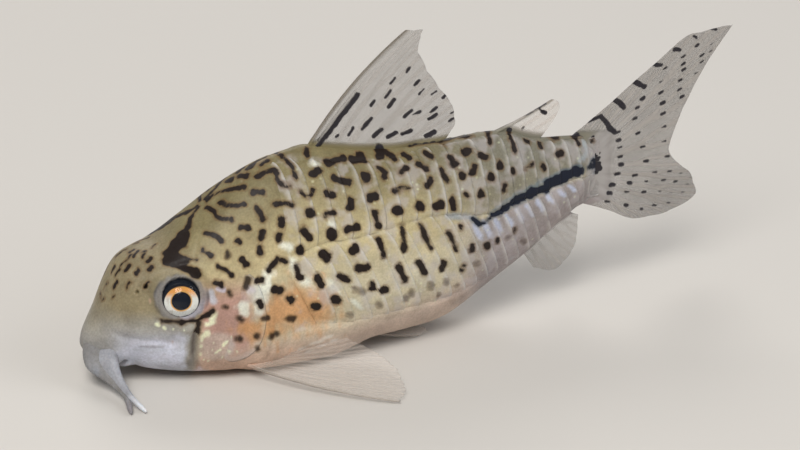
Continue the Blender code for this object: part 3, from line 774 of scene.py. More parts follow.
def head_layers(x, z, y, wavering):
    """The colours of the head and throat and how thickly each is laid, in the order of laying."""
    cheek = smoothstep((SNOUT_LINE(x) - z) / (2.6 - 0.18 * x) + 0.5) * smoothstep((9.4 - x) / 0.8)
    lobe = cheek * smoothstep((LOBE_END(z) - x + 0.25 * wavering) / 0.5)
    gill = smoothstep((x - 8.9) / 0.8) * smoothstep((14.6 - x) / 1.6) * smoothstep((10.6 - z) / 3.0)
    lip_end = smoothstep((3.2 - x) / 2.0) * smoothstep((5.2 - z) / 1.8)
    throat = smoothstep((x - 8.5) / 1.2) * smoothstep((21.0 - x) / 5.0) * smoothstep((4.4 - z) / 2.4)
    under = smoothstep((3.2 - np.abs(y)) / 1.8) * smoothstep((3.2 - z) / 1.2) * smoothstep((x - 3.5) / 1.5)
    opercle = smoothstep((1.25 - np.hypot((x - 10.6) / 1.5, (z - 3.7) / 1.35)) / 0.4) * (x > 8.8)
    return (
        (SNOUT_OLIVE, smoothstep((9.6 - x) / 3.0)), (SNOUT_GREY, cheek),
        (CHEEK_GREY, lobe * smoothstep((x - 0.8) / 2.5) * smoothstep((6.3 - z) / 2.0)),
        (CHEEK_BLUE, 0.8 * lobe * smoothstep((x - 1.6) / 2.0) * smoothstep((5.6 - z) / 1.9)),
        (ROSE, 0.85 * gill), (LIP_END_GREY, 0.8 * lip_end), (PEACH, 0.8 * throat), (UNDER_CREAM, 0.8 * under),
        (OPERCLE_BUFF, 0.65 * opercle),
    )


def eye_layers(points, side):
    """The eye's grey ring of skin, lilac below, with painted shade in a thin line round it and in the socket.
    """
    radial, upward, height = round_the_eye(points, side)
    front = height > 0
    reach = 2.30 - 0.28 * upward**2
    ring = smoothstep((reach - radial + 0.10 * ripple(points)) / 0.35 + 0.5) * front
    behind = points[..., 0] > EYE[0] - 0.6
    # A thin broken line of painted shade along the fold at the ring's edge.
    rim = np.exp(-((radial - reach - 0.05) / 0.12) ** 2) * front
    broken = np.clip(0.55 + 0.6 * ripple(points, 1.5), 0, 1)
    # Painted shade fills the socket and reaches further out above.
    opening = EYE_OPENING + 0.02 + 0.22 * np.clip(upward + 0.1, 0, 1)
    return (
        (ORBIT_GREY, 0.75 * ring), (ORBIT_LILAC, 0.6 * ring * smoothstep((0.2 - upward) / 0.8) * behind),
        (ORBIT_RIM_SHADE, 0.6 * rim * broken), (SOCKET_SHADE, 0.95 * smoothstep((opening - radial) / 0.10) * front),
    )


def broad_colours(x, down, points, side):
    """The skin's colour under its marks, laid on in layers, with painted sheen, highlights and shade among
    them.
    """
    share = down / girth(x)
    colours = np.broadcast_to(np.array(OLIVE), points.shape).copy()
    above_stripe = smoothstep((STRIPE_LINE(x) + 1.0 - down) / 2.0)
    below_stripe = smoothstep((down - STRIPE_LINE(x)) / 0.8)
    for colour, thickness in (
        (GOLD, smoothstep((share - 0.08) / 0.30)), (CREAM, 0.6 * smoothstep((share - 0.34) / 0.20)),
        (BELLY_PINK, smoothstep((share - 0.60) / 0.14)),
        (TAIL_GREY, 0.88 * smoothstep((x - 27.0) / 13.0) * above_stripe),
        (TAIL_PINK, 0.9 * smoothstep((x - 32.5) / 5.0) * below_stripe),
        (TAIL_END, smoothstep((x - 46.9) / 1.6)),
        *head_layers(x, points[..., 2], points[..., 1], ripple(points, 2.0)),
    ):
        colours = mixed(colours, colour, thickness)
    uneven = 1 + 0.30 * ripple(points)
    for lay, reach, strength, fullness, slope, touches in TOUCH_GROUPS:
        for colour, radius, *places in touches:
            near = stroke_distance(points, lay(places, side), reach)
            colours = mixed(colours, colour, strength * smoothstep(fullness - slope * near * uneven / radius))
    for colour, thickness in eye_layers(points, side):
        colours = mixed(colours, colour, thickness)
    return colours


def finish_values(x, down, points, side, plated, edge):
    """What the finish reads on each point: marks, the colour under them, plates, and painted sheen on edges.
    """
    distance, faint = mark_values(points)
    return {"mark": distance, "faint": faint, "paint": broad_colours(x, down, points, side),
            "plated": plated, "edge": edge}


# %% [markdown]
# ## The skin
#
# One closed skin runs from the lips to the root of the tail fin. It could be sculpted from a sphere,
# but then its folds would sit where the brush happened to land. Here a grid is wrapped round the lines
# of the body, and each fold is a stroke with a depth and a width: the mouth and its lips, the nostrils,
# the groove below the eye, the gill slit, the ring of skin round the eye.
#
# Where the armour plates lie, the skin drops by their thickness.

# %% Places of the head
GILL_PLATE = (12.5, 6.1)
GILL_PLATE_RADII = (2.6, 4.2)
GILL_PLATE_LEAN = math.radians(-14)
GILL_PLATE_TAPER = 0.25


def gill_outline(turn, scale):
    """The edge of the gill plate, drawn smaller by a scale, seen from the side as (x, z)."""
    along = GILL_PLATE_RADII[0] * (1 - GILL_PLATE_TAPER * np.sin(turn)) * np.cos(turn) * scale
    up = GILL_PLATE_RADII[1] * np.sin(turn) * scale
    x = GILL_PLATE[0] + along * math.cos(GILL_PLATE_LEAN) - up * math.sin(GILL_PLATE_LEAN)
    z = GILL_PLATE[1] + along * math.sin(GILL_PLATE_LEAN) + up * math.cos(GILL_PLATE_LEAN)
    return x, z


def gill_depth(x, z):
    """How far a place is from the gill plate's middle, 1 at its edge, and how free the plate is there."""
    dx, dz = x - GILL_PLATE[0], z - GILL_PLATE[1]
    along = dx * math.cos(GILL_PLATE_LEAN) + dz * math.sin(GILL_PLATE_LEAN)
    up = -dx * math.sin(GILL_PLATE_LEAN) + dz * math.cos(GILL_PLATE_LEAN)
    up = up / GILL_PLATE_RADII[1]
    along = along / (GILL_PLATE_RADII[0] * (1 - GILL_PLATE_TAPER * np.clip(up, -1, 1)))
    return np.hypot(along, up), smoothstep((along + 0.8) / 1.1)


BARBELS = {
    "barbel_upper_left": ((0.95, -0.7, 3.2), (0.28, -2.5, 2.2), (1.45, -4.6, 1.2), (2.05, -6.9, 0.65),
                          (1.75, -9.3, 0.25)),
    "barbel_lower_left": ((3.2, -1.0, 3.7), (1.8, -3.3, 2.65), (2.0, -5.1, 1.55), (2.35, -7.15, 0.82),
                          (3.1, -9.4, 0.24)),
    "barbel_upper_right": ((2.1, 0.7, 3.1), (2.3, 3.0, 1.6), (3.6, 5.0, 0.95), (5.2, 6.4, 0.55),
                           (7.2, 7.1, 0.24)),
    "barbel_lower_right": ((3.4, 1.1, 3.7), (3.5, 3.8, 2.7), (5.0, 5.9, 1.8), (7.0, 7.5, 0.9),
                           (9.2, 8.6, 0.24)),
}


def along(places):
    """A smooth line through places that are evenly spread from 0 to 1."""
    steps = len(places) - 1
    lines = [fair_curve([(i / steps, p[k]) for i, p in enumerate(places)]) for k in range(3)]
    return lambda share: np.stack([line(share) for line in lines], -1)


# %% Folds
SIDE_FOLDS = (  # depth (below zero is a groove), width, places seen from the side
    (-0.20, 0.24, (5.6, 6.6), (7.4, 6.25), (8.9, 6.2), (9.9, 6.75)),
    (-0.32, 0.26, (9.3, 6.3), (8.75, 5.2), (8.6, 4.0), (8.75, 2.4), (9.4, 1.1)),
    (0.08, 0.50, (5.0, 8.6), (5.8, 10.2), (7.6, 11.0), (9.6, 10.5), (10.6, 9.0)),
    (0.14, 0.45, (8.1, 5.4), (7.9, 4.0), (8.2, 2.6)),
    (0.10, 0.50, (2.2, 5.6), (4.6, 5.4), (6.6, 5.2)),
    (-0.08, 0.30, (2.4, 4.9), (4.6, 4.6), (6.8, 4.3)),
    (-0.10, 0.16, (15.2, 2.0), (15.9, 4.5), (15.9, 8.0), (15.4, 11.0), (14.6, 13.2)),
    (-0.05, 0.14, (3.6, 11.0), (6.4, 10.6), (9.4, 11.6), (10.8, 14.0)),
    (-0.05, 0.14, (10.6, 9.6), (12.6, 11.0), (15.0, 12.4), (16.9, 15.6)),
)
UNDER_FOLDS = (  # depth, width, places as (x, share of the girth down from the ridge)
    (0.22, 0.42, (2.6, 0.72), (1.7, 0.80), (1.2, 0.90), (1.1, 1.0)),
    (-0.40, 0.20, (3.1, 0.74), (2.5, 0.83), (2.1, 0.92), (2.0, 1.0)),
    (0.22, 0.34, (3.5, 0.76), (3.1, 0.85), (2.8, 0.93), (2.7, 1.0)),
    (-0.16, 0.30, (4.4, 0.80), (4.0, 0.88), (3.8, 1.0)),
    (-0.12, 0.25, (12.6, 0.80), (11.0, 0.90), (10.2, 1.0)),
)
NOSTRILS = ((4.25, 8.9, 0.17), (5.0, 9.35, 0.20))  # x, z, radius of the hole
NOSTRIL_RIM = 0.13
NOSTRIL_DEPTH = 0.42
LIP_SWELL = 0.34  # how far the lips swell round the roots of the feelers

print(len(SIDE_FOLDS) + len(UNDER_FOLDS), "folds on each side")

# %% Bed of the plates
# Where the armour plates begin behind the head, and the lines between which they lie.
PLATES_START = 17.2
PLATE_TOP = fair_curve(((16.0, 0.5), (19.5, 0.5), (20.6, 1.5), (30.0, 1.0), (32.0, 0.35), (50.0, 0.25)))
PLATE_MIDDLE = settled_curve((
    (16.0, 10.9), (19.0, 11.0), (22.0, 10.6), (25.0, 9.7), (28.0, 8.6), (31.0, 7.9), (34.0, 7.9),
    (37.0, 8.1), (40.0, 6.9), (43.0, 5.2), (46.0, 4.2), (50.0, 3.4),
))
PLATE_BOTTOM_SHARE = fair_curve((
    (16.0, 0.64), (22.0, 0.66), (30.0, 0.70), (38.0, 0.80), (44.0, 0.92), (50.0, 0.96),
))
PLATE_THICKNESS = 0.08
PLATE_BED = 0.16  # how deep the skin lies below the plates' outer face
TAIL_EDGE = 49.4  # x at which the body ends and only the tail fin goes on


def plate_cover(x, down):
    """1 where armour plates lie over the skin, 0 elsewhere."""
    behind = smoothstep((x - PLATES_START - 0.2) / 0.5)
    below_top = smoothstep((down - PLATE_TOP(x)) / 0.25)
    above_bottom = smoothstep((PLATE_BOTTOM_SHARE(x) * girth(x) - down) / 0.25)
    return behind * below_top * above_bottom * smoothstep((TAIL_EDGE - x) / 0.5)


print("bed of the plates from", PLATES_START, "to", TAIL_EDGE, "mm")

# %% Pressing the folds in
def shaped_skin(points, outward, x, down, side):
    """Presses the folds into the points of one flank."""
    rise = -0.02 - PLATE_BED * plate_cover(x, down)
    folds = [(depth, width, side_line(places, side)) for depth, width, *places in SIDE_FOLDS]
    for depth, width, *places in UNDER_FOLDS:
        folds.append((depth, width, plain_line([(u, share * girth(u)) for u, share in places], side)))
    for depth, width, line in folds:
        near = stroke_distance(points, line, 2.0)
        rise = rise + depth * np.exp(-(near / width) ** 2)
    for u, v, radius in NOSTRILS:
        near = stroke_distance(points, side_line([(u, v)], side), 2.0)
        rise = rise + NOSTRIL_RIM * np.exp(-((near - radius * 1.7) / 0.13) ** 2)
        rise = rise - NOSTRIL_DEPTH * smoothstep(1.25 - near / radius)
    for name in BARBELS:
        if name.endswith("left" if side < 0 else "right"):
            near = stroke_distance(points, along(BARBELS[name])(np.linspace(0, 0.3, 7)), 3.0)
            rise = rise + LIP_SWELL * np.exp(-(near / 1.25) ** 2)
    depth, free = gill_depth(x, points[..., 2])
    rise = rise - 0.08 * free * smoothstep((0.985 - depth) / 0.08)
    return eye_socket(points + outward * rise[..., None], side)


def eye_socket(points, side):
    """Draws the skin to a ring round the eye, with a low rim, and opens a hollow for the ball inside it."""
    axis = EYE_AXIS * (1, side, 1)
    radial, _, height = round_the_eye(points, side)
    front = height > -1.0
    foot = EYE * (1, side, 1) + height[..., None] * axis
    snapped = np.where((np.abs(radial - EYE_OPENING) < 0.075) & front, EYE_OPENING, radial)
    points = foot + (points - foot) * (snapped / np.maximum(radial, 1e-6))[..., None]
    radial = snapped
    ball = np.sqrt(np.maximum(EYE_RADIUS**2 - radial**2, 0.2))
    ring = 0.06 + 0.10 * np.exp(-((radial - EYE_OPENING - 0.22) / 0.18) ** 2)
    wanted = np.sqrt(EYE_RADIUS**2 - EYE_OPENING**2) + ring - 0.45 * smoothstep((radial - 1.9) / 1.2)
    wanted = np.where(radial < EYE_OPENING, ball - SOCKET_DEPTH, wanted)
    pull = smoothstep((3.1 - radial) / 1.1) * front
    return points + axis * ((wanted - height) * pull)[..., None]


# %% Wrap the grid round the body
SKIN_COLUMNS = 264  # round the body
FLOOR_GAP = 0.02  # what rests on the ground stays this far above it
NOSE_ROWS, HEAD_ROWS, TRUNK_ROWS = 52, 170, 128
HEAD_END, SKIN_END = 16.5, BODY_LENGTH - 0.7  # x


def skin_stations():
    """Sections closer together on the head, and evenly spread over the rounding of the nose."""
    nose = NOSE_ROUNDING * (1 - np.cos(np.linspace(0.004, math.pi / 2, NOSE_ROWS)))
    head = np.linspace(NOSE_ROUNDING, HEAD_END, HEAD_ROWS + 1)[1:]
    trunk = np.linspace(HEAD_END, SKIN_END, TRUNK_ROWS + 1)[1:]
    return np.concatenate([nose, head, trunk])


def outward_of(points):
    """Unit directions straight off a laid surface whose columns run down the flank."""
    ahead = np.gradient(points, axis=0)
    below = np.gradient(points, axis=1)
    outward = np.cross(ahead, below)
    return outward / np.maximum(np.linalg.norm(outward, axis=-1, keepdims=True), 1e-9)


def flank_shares():
    """Columns closer together at the height of the eye."""
    even = np.linspace(0, 1, 801)
    crowd = 1 + 1.4 * np.exp(-((even - 0.42) / 0.17) ** 2)
    reach = np.concatenate([[0], np.cumsum((crowd[1:] + crowd[:-1]) / 2)])
    return np.interp(np.linspace(0, reach[-1], SKIN_COLUMNS // 2 + 1), reach, even)


def flank_of_skin(side):
    """The shaped points of one flank with their values, from the ridge down to the belly."""
    x = skin_stations()[:, None]
    share = flank_shares()[None, :]
    x, share = np.broadcast_arrays(x, share)
    down = share * girth(x)
    right = body_point(x, flank_turn(x, share))
    points = mirrored(right, side)
    outward = outward_of(right) * (1, side, 1)
    shaped = shaped_skin(points, outward, x, down, side)
    for column in (0, -1):  # the ridge and the middle of the belly stay in the middle plane
        shaped[:, column, 1] = tail_swing(shaped[:, column, 0], shaped[:, column, 2])
    shaped[..., 2] = np.maximum(shaped[..., 2], FLOOR_GAP)
    return shaped, finish_values(x, down, points, side, plate_cover(x, down), np.zeros_like(x))


def closed_ends(points):
    """Gathers the first and the last row of a wrapped grid in one point each, which closes the form."""
    points = points.copy()
    points[0] = points[0].mean(0)
    points[-1] = points[-1].mean(0)
    return points


def wrapped(left, right):
    """Belly, left flank, ridge, right flank and belly again."""
    return np.concatenate([left[:, ::-1], right[:, 1:]], axis=1)


def made_skin():
    """The skin's grid, wrapped round both flanks."""
    left, left_values = flank_of_skin(-1)
    right, right_values = flank_of_skin(1)
    around = wrapped(left, right)
    values = {key: wrapped(left_values[key], right_values[key]) for key in left_values}
    around[:, -1] = around[:, 0]
    return laid_grid("skin", closed_ends(around), values)


skin = made_skin()
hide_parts("head", "trunk", "tail_stalk")
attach(skin, "root")
print("skin", triangles([skin]), "triangles")

# %% [markdown]
# ## Closed sheets
#
# Plates and fins have two faces and a thin edge. The grid for one is wrapped like a flattened tube: it
# runs over the outer face and back along the inner one. Where both faces meet, at the first and the
# last row, the points are merged. So the piece is a closed solid without a Solidify step, and its
# thickness may change from place to place.

# %% Closed sheet
def closed_sheet(name, outer, inner, values):
    """A thin solid between two faces of points that meet at their first and last rows."""
    around = np.concatenate([outer, inner[:, ::-1], outer[:, :1]], axis=1)
    both_faces = {key: np.concatenate([v, v[:, ::-1], v[:, :1]], axis=1) for key, v in values.items()}
    return laid_grid(name, around, both_faces)


# %% [markdown]
# ## The armour plates
#
# Two rows of tall narrow bony plates cover each flank and meet along the middle line. Each plate's rear
# edge lies over the front of the next, as roof tiles do. The lower plates lean back as they go down.
#
# One plate is a closed sheet. A loop lays more than twenty of them in each row, each a little narrower
# than the one before it, and joins each flank's plates into one piece.

# %% Plates of one row
PLATE_COUNT = 23
FIRST_PITCH = 1.74  # width that shows of the first plate
PITCH_RATIO = 0.979
PLATE_OVERLAP = 0.28  # how much of a plate lies under the one before it, as a share of its width
UPPER_LEAN, LOWER_LEAN = 0.10, 0.42  # mm back for each mm down
PLATE_ROWS, PLATE_COLUMNS = 34, 12
PLATE_TILT = 0.12  # how far a plate rises from its front edge to its rear edge
BRINK_DROP = 0.05


def plate_starts():
    """Where each plate of a row begins, as far back as there is room for one."""
    pitches = FIRST_PITCH * PITCH_RATIO ** np.arange(PLATE_COUNT)
    starts = PLATES_START + np.concatenate([[0], np.cumsum(pitches)])
    return starts[starts < 49.0]


def plate_address(k, starts, upper):
    """Taped addresses of one plate's grid.

    With them come the shares of the plate's width and height at which each point stands.
    """
    rows = (1 - np.cos(np.linspace(0, math.pi, PLATE_ROWS))) / 2
    columns = np.linspace(-PLATE_OVERLAP, 1, PLATE_COLUMNS)
    low, rear = np.meshgrid(rows, columns, indexing="ij")
    corner = np.abs(2 * low - 1)
    reach = rear * (1 - 0.30 * corner**5 * np.clip(rear, 0, 1))
    x = starts[k] + FIRST_PITCH * PITCH_RATIO**k * reach
    middle = PLATE_MIDDLE(x)
    if upper:
        down = PLATE_TOP(x) + (middle + 0.16 - PLATE_TOP(x)) * low
        x = x + UPPER_LEAN * (down - middle)
    else:
        bottom = PLATE_BOTTOM_SHARE(x) * girth(x)
        down = middle - 0.05 + (bottom - middle + 0.05) * low
        x = x + LOWER_LEAN * (down - middle) * smoothstep((48.5 - x) / 3.0)
    return np.clip(x, 0, BODY_LENGTH - 0.6), down, rear, low


def plate(k, starts, upper, side):
    """One plate. It rises towards its rear edge, and its edges dip into the skin."""
    x, down, rear, low = plate_address(k, starts, upper)
    ramp = -PLATE_TILT + PLATE_TILT * np.clip((rear + PLATE_OVERLAP) / (0.9 + PLATE_OVERLAP), 0, 1)
    brink = BRINK_DROP * smoothstep((rear - 0.88) / 0.12)
    foot = 0.16 * (1 - smoothstep((1 - low) / (0.06 if upper else 0.12)))
    ends = 0.14 * (1 - smoothstep(low / 0.06)) + foot
    lift = np.maximum(ramp - brink - ends, -PLATE_BED)
    thick = PLATE_THICKNESS * np.sqrt(np.clip(1 - np.abs(2 * low - 1) ** 12, 0, 1))
    outer = on_flank(x, down, side, lift)
    inner = on_flank(x, down, side, lift - thick)
    # A pale painted sheen runs along the plate's rear edge.
    edge = np.exp(-((1 - rear) / 0.22) ** 2)
    values = finish_values(x, down, outer, side, np.ones_like(rear), edge)
    made = closed_sheet(f"{'upper' if upper else 'lower'}_plate_{k}", outer, inner, values)
    place_on_map(made, k, len(starts), upper)
    return made


def place_on_map(piece, k, count, upper):
    """Moves the plate's patch of the UV map to its own place along the flank's unwrap."""
    data = piece.data.uv_layers["OFBake"].data
    uv = np.zeros(len(data) * 2, np.float32)
    data.foreach_get("uv", uv)
    uv = uv.reshape(-1, 2)
    uv[:, 0] = (k + 0.04 + 0.92 * uv[:, 0]) / count
    uv[:, 1] = (0.02 + 0.46 * uv[:, 1]) + (0.0 if upper else 0.5)
    data.foreach_set("uv", uv.ravel())


print(len(plate_starts()), "plates in each row")

# %% Lay the plates
def armour(side, word):
    """Both rows of plates of one flank in one piece."""
    starts = plate_starts()
    plates = [plate(k, starts, upper, side) for upper in (False, True) for k in range(len(starts))]
    return joined("plates_" + word, plates)


armour_pieces = [armour(-1, "left"), armour(1, "right")]
for piece in armour_pieces:
    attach(piece, "root")
print("plates", triangles(armour_pieces), "triangles")

# %% [markdown]
# ## The gill covers
#
# A large oval plate closes the gills behind each eye. Its rear edge stands clear of the skin, because
# it opens with every breath. It is modelled as a shallow dish: a grid laid in rings from the middle to
# the edge, out over the front and back along the inside.

# %% Gill covers
GILL_RINGS, GILL_SPOKES = 22, 96


def gill_cover(side, word):
    """A dish whose rear edge stands clear and whose front edge sinks into the cheek."""
    turns = np.linspace(0, 2 * math.pi, GILL_SPOKES + 1)
    scales = np.concatenate([np.linspace(0.001, 0.96, GILL_RINGS), [1.0], np.linspace(0.96, 0.001, 8)])
    scales = scales[:, None]
    inside = np.arange(len(scales))[:, None] > GILL_RINGS
    x, z = gill_outline(turns, scales)
    down = downs_at_heights(x, z)
    free = gill_depth(x, z)[1]
    lift = 0.03 * scales**2 * free - 0.30 * (1 - free) - 0.06 * inside - 0.03 * (scales == 1.0)
    points = on_flank(x, down, side, lift)
    # A pale painted sheen runs along the cover's rim.
    edge = 0.6 * np.exp(-((1 - gill_depth(x, points[..., 2])[0]) / 0.08) ** 2)
    values = finish_values(x, down, points, side, np.full(x.shape, 0.6), edge)
    return laid_grid("gill_plate_" + word, closed_ends(points), values)


gill_covers = []
for side, word in ((-1, "left"), (1, "right")):
    piece = gill_cover(side, word)
    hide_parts("gill_cover_" + word)
    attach(piece, "root")
    gill_covers.append(piece)
print("gill covers", triangles(gill_covers), "triangles")

# %% [markdown]
# ## The eyes
#
# Each eye is a ball set deep in its socket, with a round black pupil and a narrow bright ring of white
# and gold. The ball is a sphere from the Add menu. Its front is scaled flat where the iris lies, the
# pupil is pressed in, and a clear dome, the cornea, closes over it.

# %% Eye
IRIS_RADIUS, IRIS_HEIGHT = 1.6, 1.16
PUPIL_RADIUS, PUPIL_DEPTH = 0.86, 0.10
CORNEA_SWELL = 1.012  # how much larger than the ball the dome is


def sphere(name, segments):
    """A sphere of the eye's size from the Add menu."""
    deselect_all()
    bpy.ops.mesh.primitive_uv_sphere_add(segments=segments, ring_count=segments, radius=EYE_RADIUS * MM)
    bpy.context.object.name = name
    return bpy.context.object


def set_in_socket(piece, places, direction, side):
    """Turns a sphere's points, in millimetres, so that its pole looks along a direction, and lays them."""
    turn = Vector(direction * (1, side, 1)).to_track_quat("Z", "Y")
    turned = np.array([list(turn @ Vector(place)) for place in places])
    move_points(piece.data, turned + EYE * (1, side, 1))


def eyeball(side, word):
    """A ball whose pole looks out of the socket. It stores how far each point is from the pupil's middle."""
    ball = sphere("eyeball_" + word, 96)
    x, y, z = np.array([v.co[:] for v in ball.data.vertices]).T / MM
    radial = np.hypot(x, y)
    front = z > 0
    flat = np.where(front & (radial < IRIS_RADIUS), IRIS_HEIGHT + 0.05 * (IRIS_RADIUS - radial), z)
    dip = PUPIL_DEPTH * smoothstep((PUPIL_RADIUS - radial) / 0.08)
    z = np.where(front & (radial < PUPIL_RADIUS), flat - dip, flat)
    set_in_socket(ball, np.stack([x, y, z], -1), GAZE, side)
    store(ball.data, "from_pupil", np.where(front, radial, 3.0))
    store(ball.data, "upward", y / EYE_RADIUS)
    bpy.ops.object.shade_smooth()
    return ball


def cornea(side, word):
    """A thin clear dome over the iris."""
    dome = sphere("cornea_" + word, 64)
    bpy.ops.object.mode_set(mode="EDIT")
    bpy.ops.mesh.select_all(action="SELECT")
    bpy.ops.mesh.bisect(plane_co=(0, 0, 0.9 * MM), plane_no=(0, 0, 1), clear_inner=True, use_fill=True)
    bpy.ops.object.mode_set(mode="OBJECT")
    set_in_socket(dome, [v.co * CORNEA_SWELL / MM for v in dome.data.vertices], EYE_AXIS, side)
    bpy.ops.object.shade_smooth_by_angle(angle=math.radians(40))
    return dome


eyes, corneas = [], []
for side, word in ((-1, "left"), (1, "right")):
    ball, dome = eyeball(side, word), cornea(side, word)
    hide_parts("eye_" + word)
    for piece in (ball, dome):
        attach(piece, "root")
    eyes.append(ball)
    corneas.append(dome)
print("eyes", triangles(eyes), "triangles")

# %% [markdown]
# ## The barbels
#
# Four soft feelers hang from the corners of the mouth. Each is a tapering tube whose root flares into
# the lip, so it seems to grow out of it. The grid is wrapped round a smooth line through a few places,
# and its radius changes from root to tip.

# %% Tubes
TUBE_ROWS, TUBE_COLUMNS = 90, 32


def tube(places, radius_at, beside):
    """Points of a tube along a line, and the share of the way of each of its rings.

    radius_at gives the radius at each share. Near its root the tube widens towards the line beside it,
    so that two tubes share one fleshy base.
    """
    share = np.linspace(0, 1, TUBE_ROWS)
    middle = along(places)(share)
    ahead = np.gradient(middle, axis=0)
    ahead /= np.linalg.norm(ahead, axis=1, keepdims=True)
    across = np.cross(ahead, (0, 0, 1.0))
    across /= np.maximum(np.linalg.norm(across, axis=1, keepdims=True), 1e-6)
    upward = np.cross(across, ahead)
    turn = np.linspace(0, 2 * math.pi, TUBE_COLUMNS + 1)[None, :, None]
    ring = across[:, None] * np.cos(turn) + upward[:, None] * np.sin(turn)
    points = middle[:, None] + ring * radius_at(share)[:, None, None]
    gap = along(beside)(share) - middle
    facing = np.clip(np.einsum("rck,rk->rc", ring, gap / np.linalg.norm(gap, axis=1, keepdims=True)), 0, 1)
    fill = 0.60 * smoothstep((0.84 - share) / 0.30)[:, None] * facing**1.3
    points = points + fill[..., None] * gap[:, None]
    points[..., 2] = np.maximum(points[..., 2], FLOOR_GAP)
    return points, share


# %% Barbels
# The upper feelers are painted darker and the lower ones lighter: painted shade and painted light on one
# grey.
BARBEL_ROOTS_LIT_AND_SHADED = {"upper": (0.225, 0.216, 0.208), "lower": (0.345, 0.348, 0.375)}
BARBEL_TIPS_LIT_AND_SHADED = {"upper": (0.230, 0.215, 0.225), "lower": (0.72, 0.74, 0.78)}
TWINS = {"upper": "lower", "lower": "upper"}  # the two feelers of one side stand on one fleshy base


def barbel_radius(share):
    """Wide where it leaves the lip, then an even taper, with a rounded tip."""
    flare = 0.50 * np.exp(-(share / 0.29) ** 2)
    return (0.42 + flare - 0.20 * share) * np.sqrt(np.clip(1 - share**24, 0.0004, 1))


def barbel_values(level, points, share):
    """The lip's grey at the root and a tip colour: painted light on lower feelers, painted shade on upper."""
    base = np.broadcast_to(np.array(BARBEL_ROOTS_LIT_AND_SHADED[level]), points.shape).copy()
    share = np.broadcast_to(share[:, None], points.shape[:2])
    streak = 0.5 + 0.5 * ripple(points, 2.0)
    colours = mixed(base, (0.30, 0.31, 0.34), 0.6 * streak * smoothstep(share / 0.4))
    colours = mixed(colours, BARBEL_TIPS_LIT_AND_SHADED[level], smoothstep((share - 0.70) / 0.24))
    blank = np.zeros(points.shape[:2])
    return {"paint": colours, "mark": blank + 2.0, "faint": blank, "plated": blank}


barbels = []
for name, places in BARBELS.items():
    level = name.split("_")[1]
    twin = BARBELS[name.replace(level, TWINS[level])]
    points, share = tube(places, barbel_radius, twin)
    piece = laid_grid("feeler_" + name, closed_ends(points), barbel_values(level, points, share))
    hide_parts(name)
    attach(piece, "root")
    barbels.append(piece)
print("barbels", triangles(barbels), "triangles")

# %% [markdown]
# ## Fins
#
# A fin is a clear skin held up by rays. The rays fan out from the root, fork half-way and end at the
# rim, where the skin between them is drawn in a little. Modelling each ray as a rod and each web as a
# sheet would leave a seam along every ray. So a fin is one closed sheet whose thickness swells where a
# ray runs. Its addresses are q, from the first ray (0) to the last (1), and r, from the root (0) to the
# rim (1).

# %% Fin shapes
class FinShape:
    """Places on a fin between its root line and its rim line.

    bow bends the rays, the first one most. wave pushes the webs to one side and the other in turn.
    """

    def __init__(self, root, rim, rays, normal=(0, 1, 0), bow=0.0, swings=False, wave=0.0):
        self.root, self.rim = along(root), along(rim)
        self.normal = np.array(normal, float)
        self.bow, self.swings, self.wave, self.rays = bow, swings, wave, rays

    def place(self, q, r):
        """Points in millimetres along the fish."""
        q, r = np.broadcast_arrays(np.asarray(q, float), np.asarray(r, float))
        start, end = self.root(q), self.rim(q)
        way = end - start
        across = np.cross(way, self.normal)
        middle = start + way * r[..., None] + across * (self.bow * 4 * r * (1 - r) * (1 - q))[..., None]
        sway = self.wave * np.sin(q * self.rays * math.pi) * smoothstep(r / 0.3) * (1 - 0.4 * r)
        middle = middle + self.normal * sway[..., None]
        if self.swings:
            middle[..., 1] += tail_swing(middle[..., 0], middle[..., 2])
        return middle


FORK_AT = 0.5  # the share of its way at which a ray forks
ROOT_SWELL = 0.10  # how much thicker a fin is where it stands in the skin


def ray_ridge(q, r, shape, forks):
    """1 on the crest of a ray or of its branches, 0 on the skin between them."""
    offset = q * shape.rays - np.round(q * shape.rays)
    split = forks * smoothstep((r - FORK_AT) / 0.25)
    nearest = np.minimum(np.abs(offset - 0.25 * split), np.abs(offset + 0.25 * split))
    width = (0.30 - 0.04 * r) * (1 - 0.45 * split)
    return np.clip(1 - (nearest / width) ** 2, 0, 1) ** 1.2, offset


def out_of_body(shape, points, r):
    """How many millimetres of a fin's place stand clear of the body."""
    x, z = points[..., 0], points[..., 2]
    if shape.normal[1]:
        return np.maximum(np.maximum(z - back(x), belly(x) - z), 0.34 * (x - TAIL_EDGE))
    return 10.0 * r - 0.6


# %% One fin
def root_colours(shape, q):
    """The colour of the skin where each ray leaves it."""
    foot = shape.place(q, np.full_like(q, 0.03))
    x = np.clip(foot[:, 0], 0.5, 48.8)
    side = 1 if shape.root(0.5)[1] > 0 else -1
    return broad_colours(x, downs_at_heights(x, foot[:, 2]), foot, side)


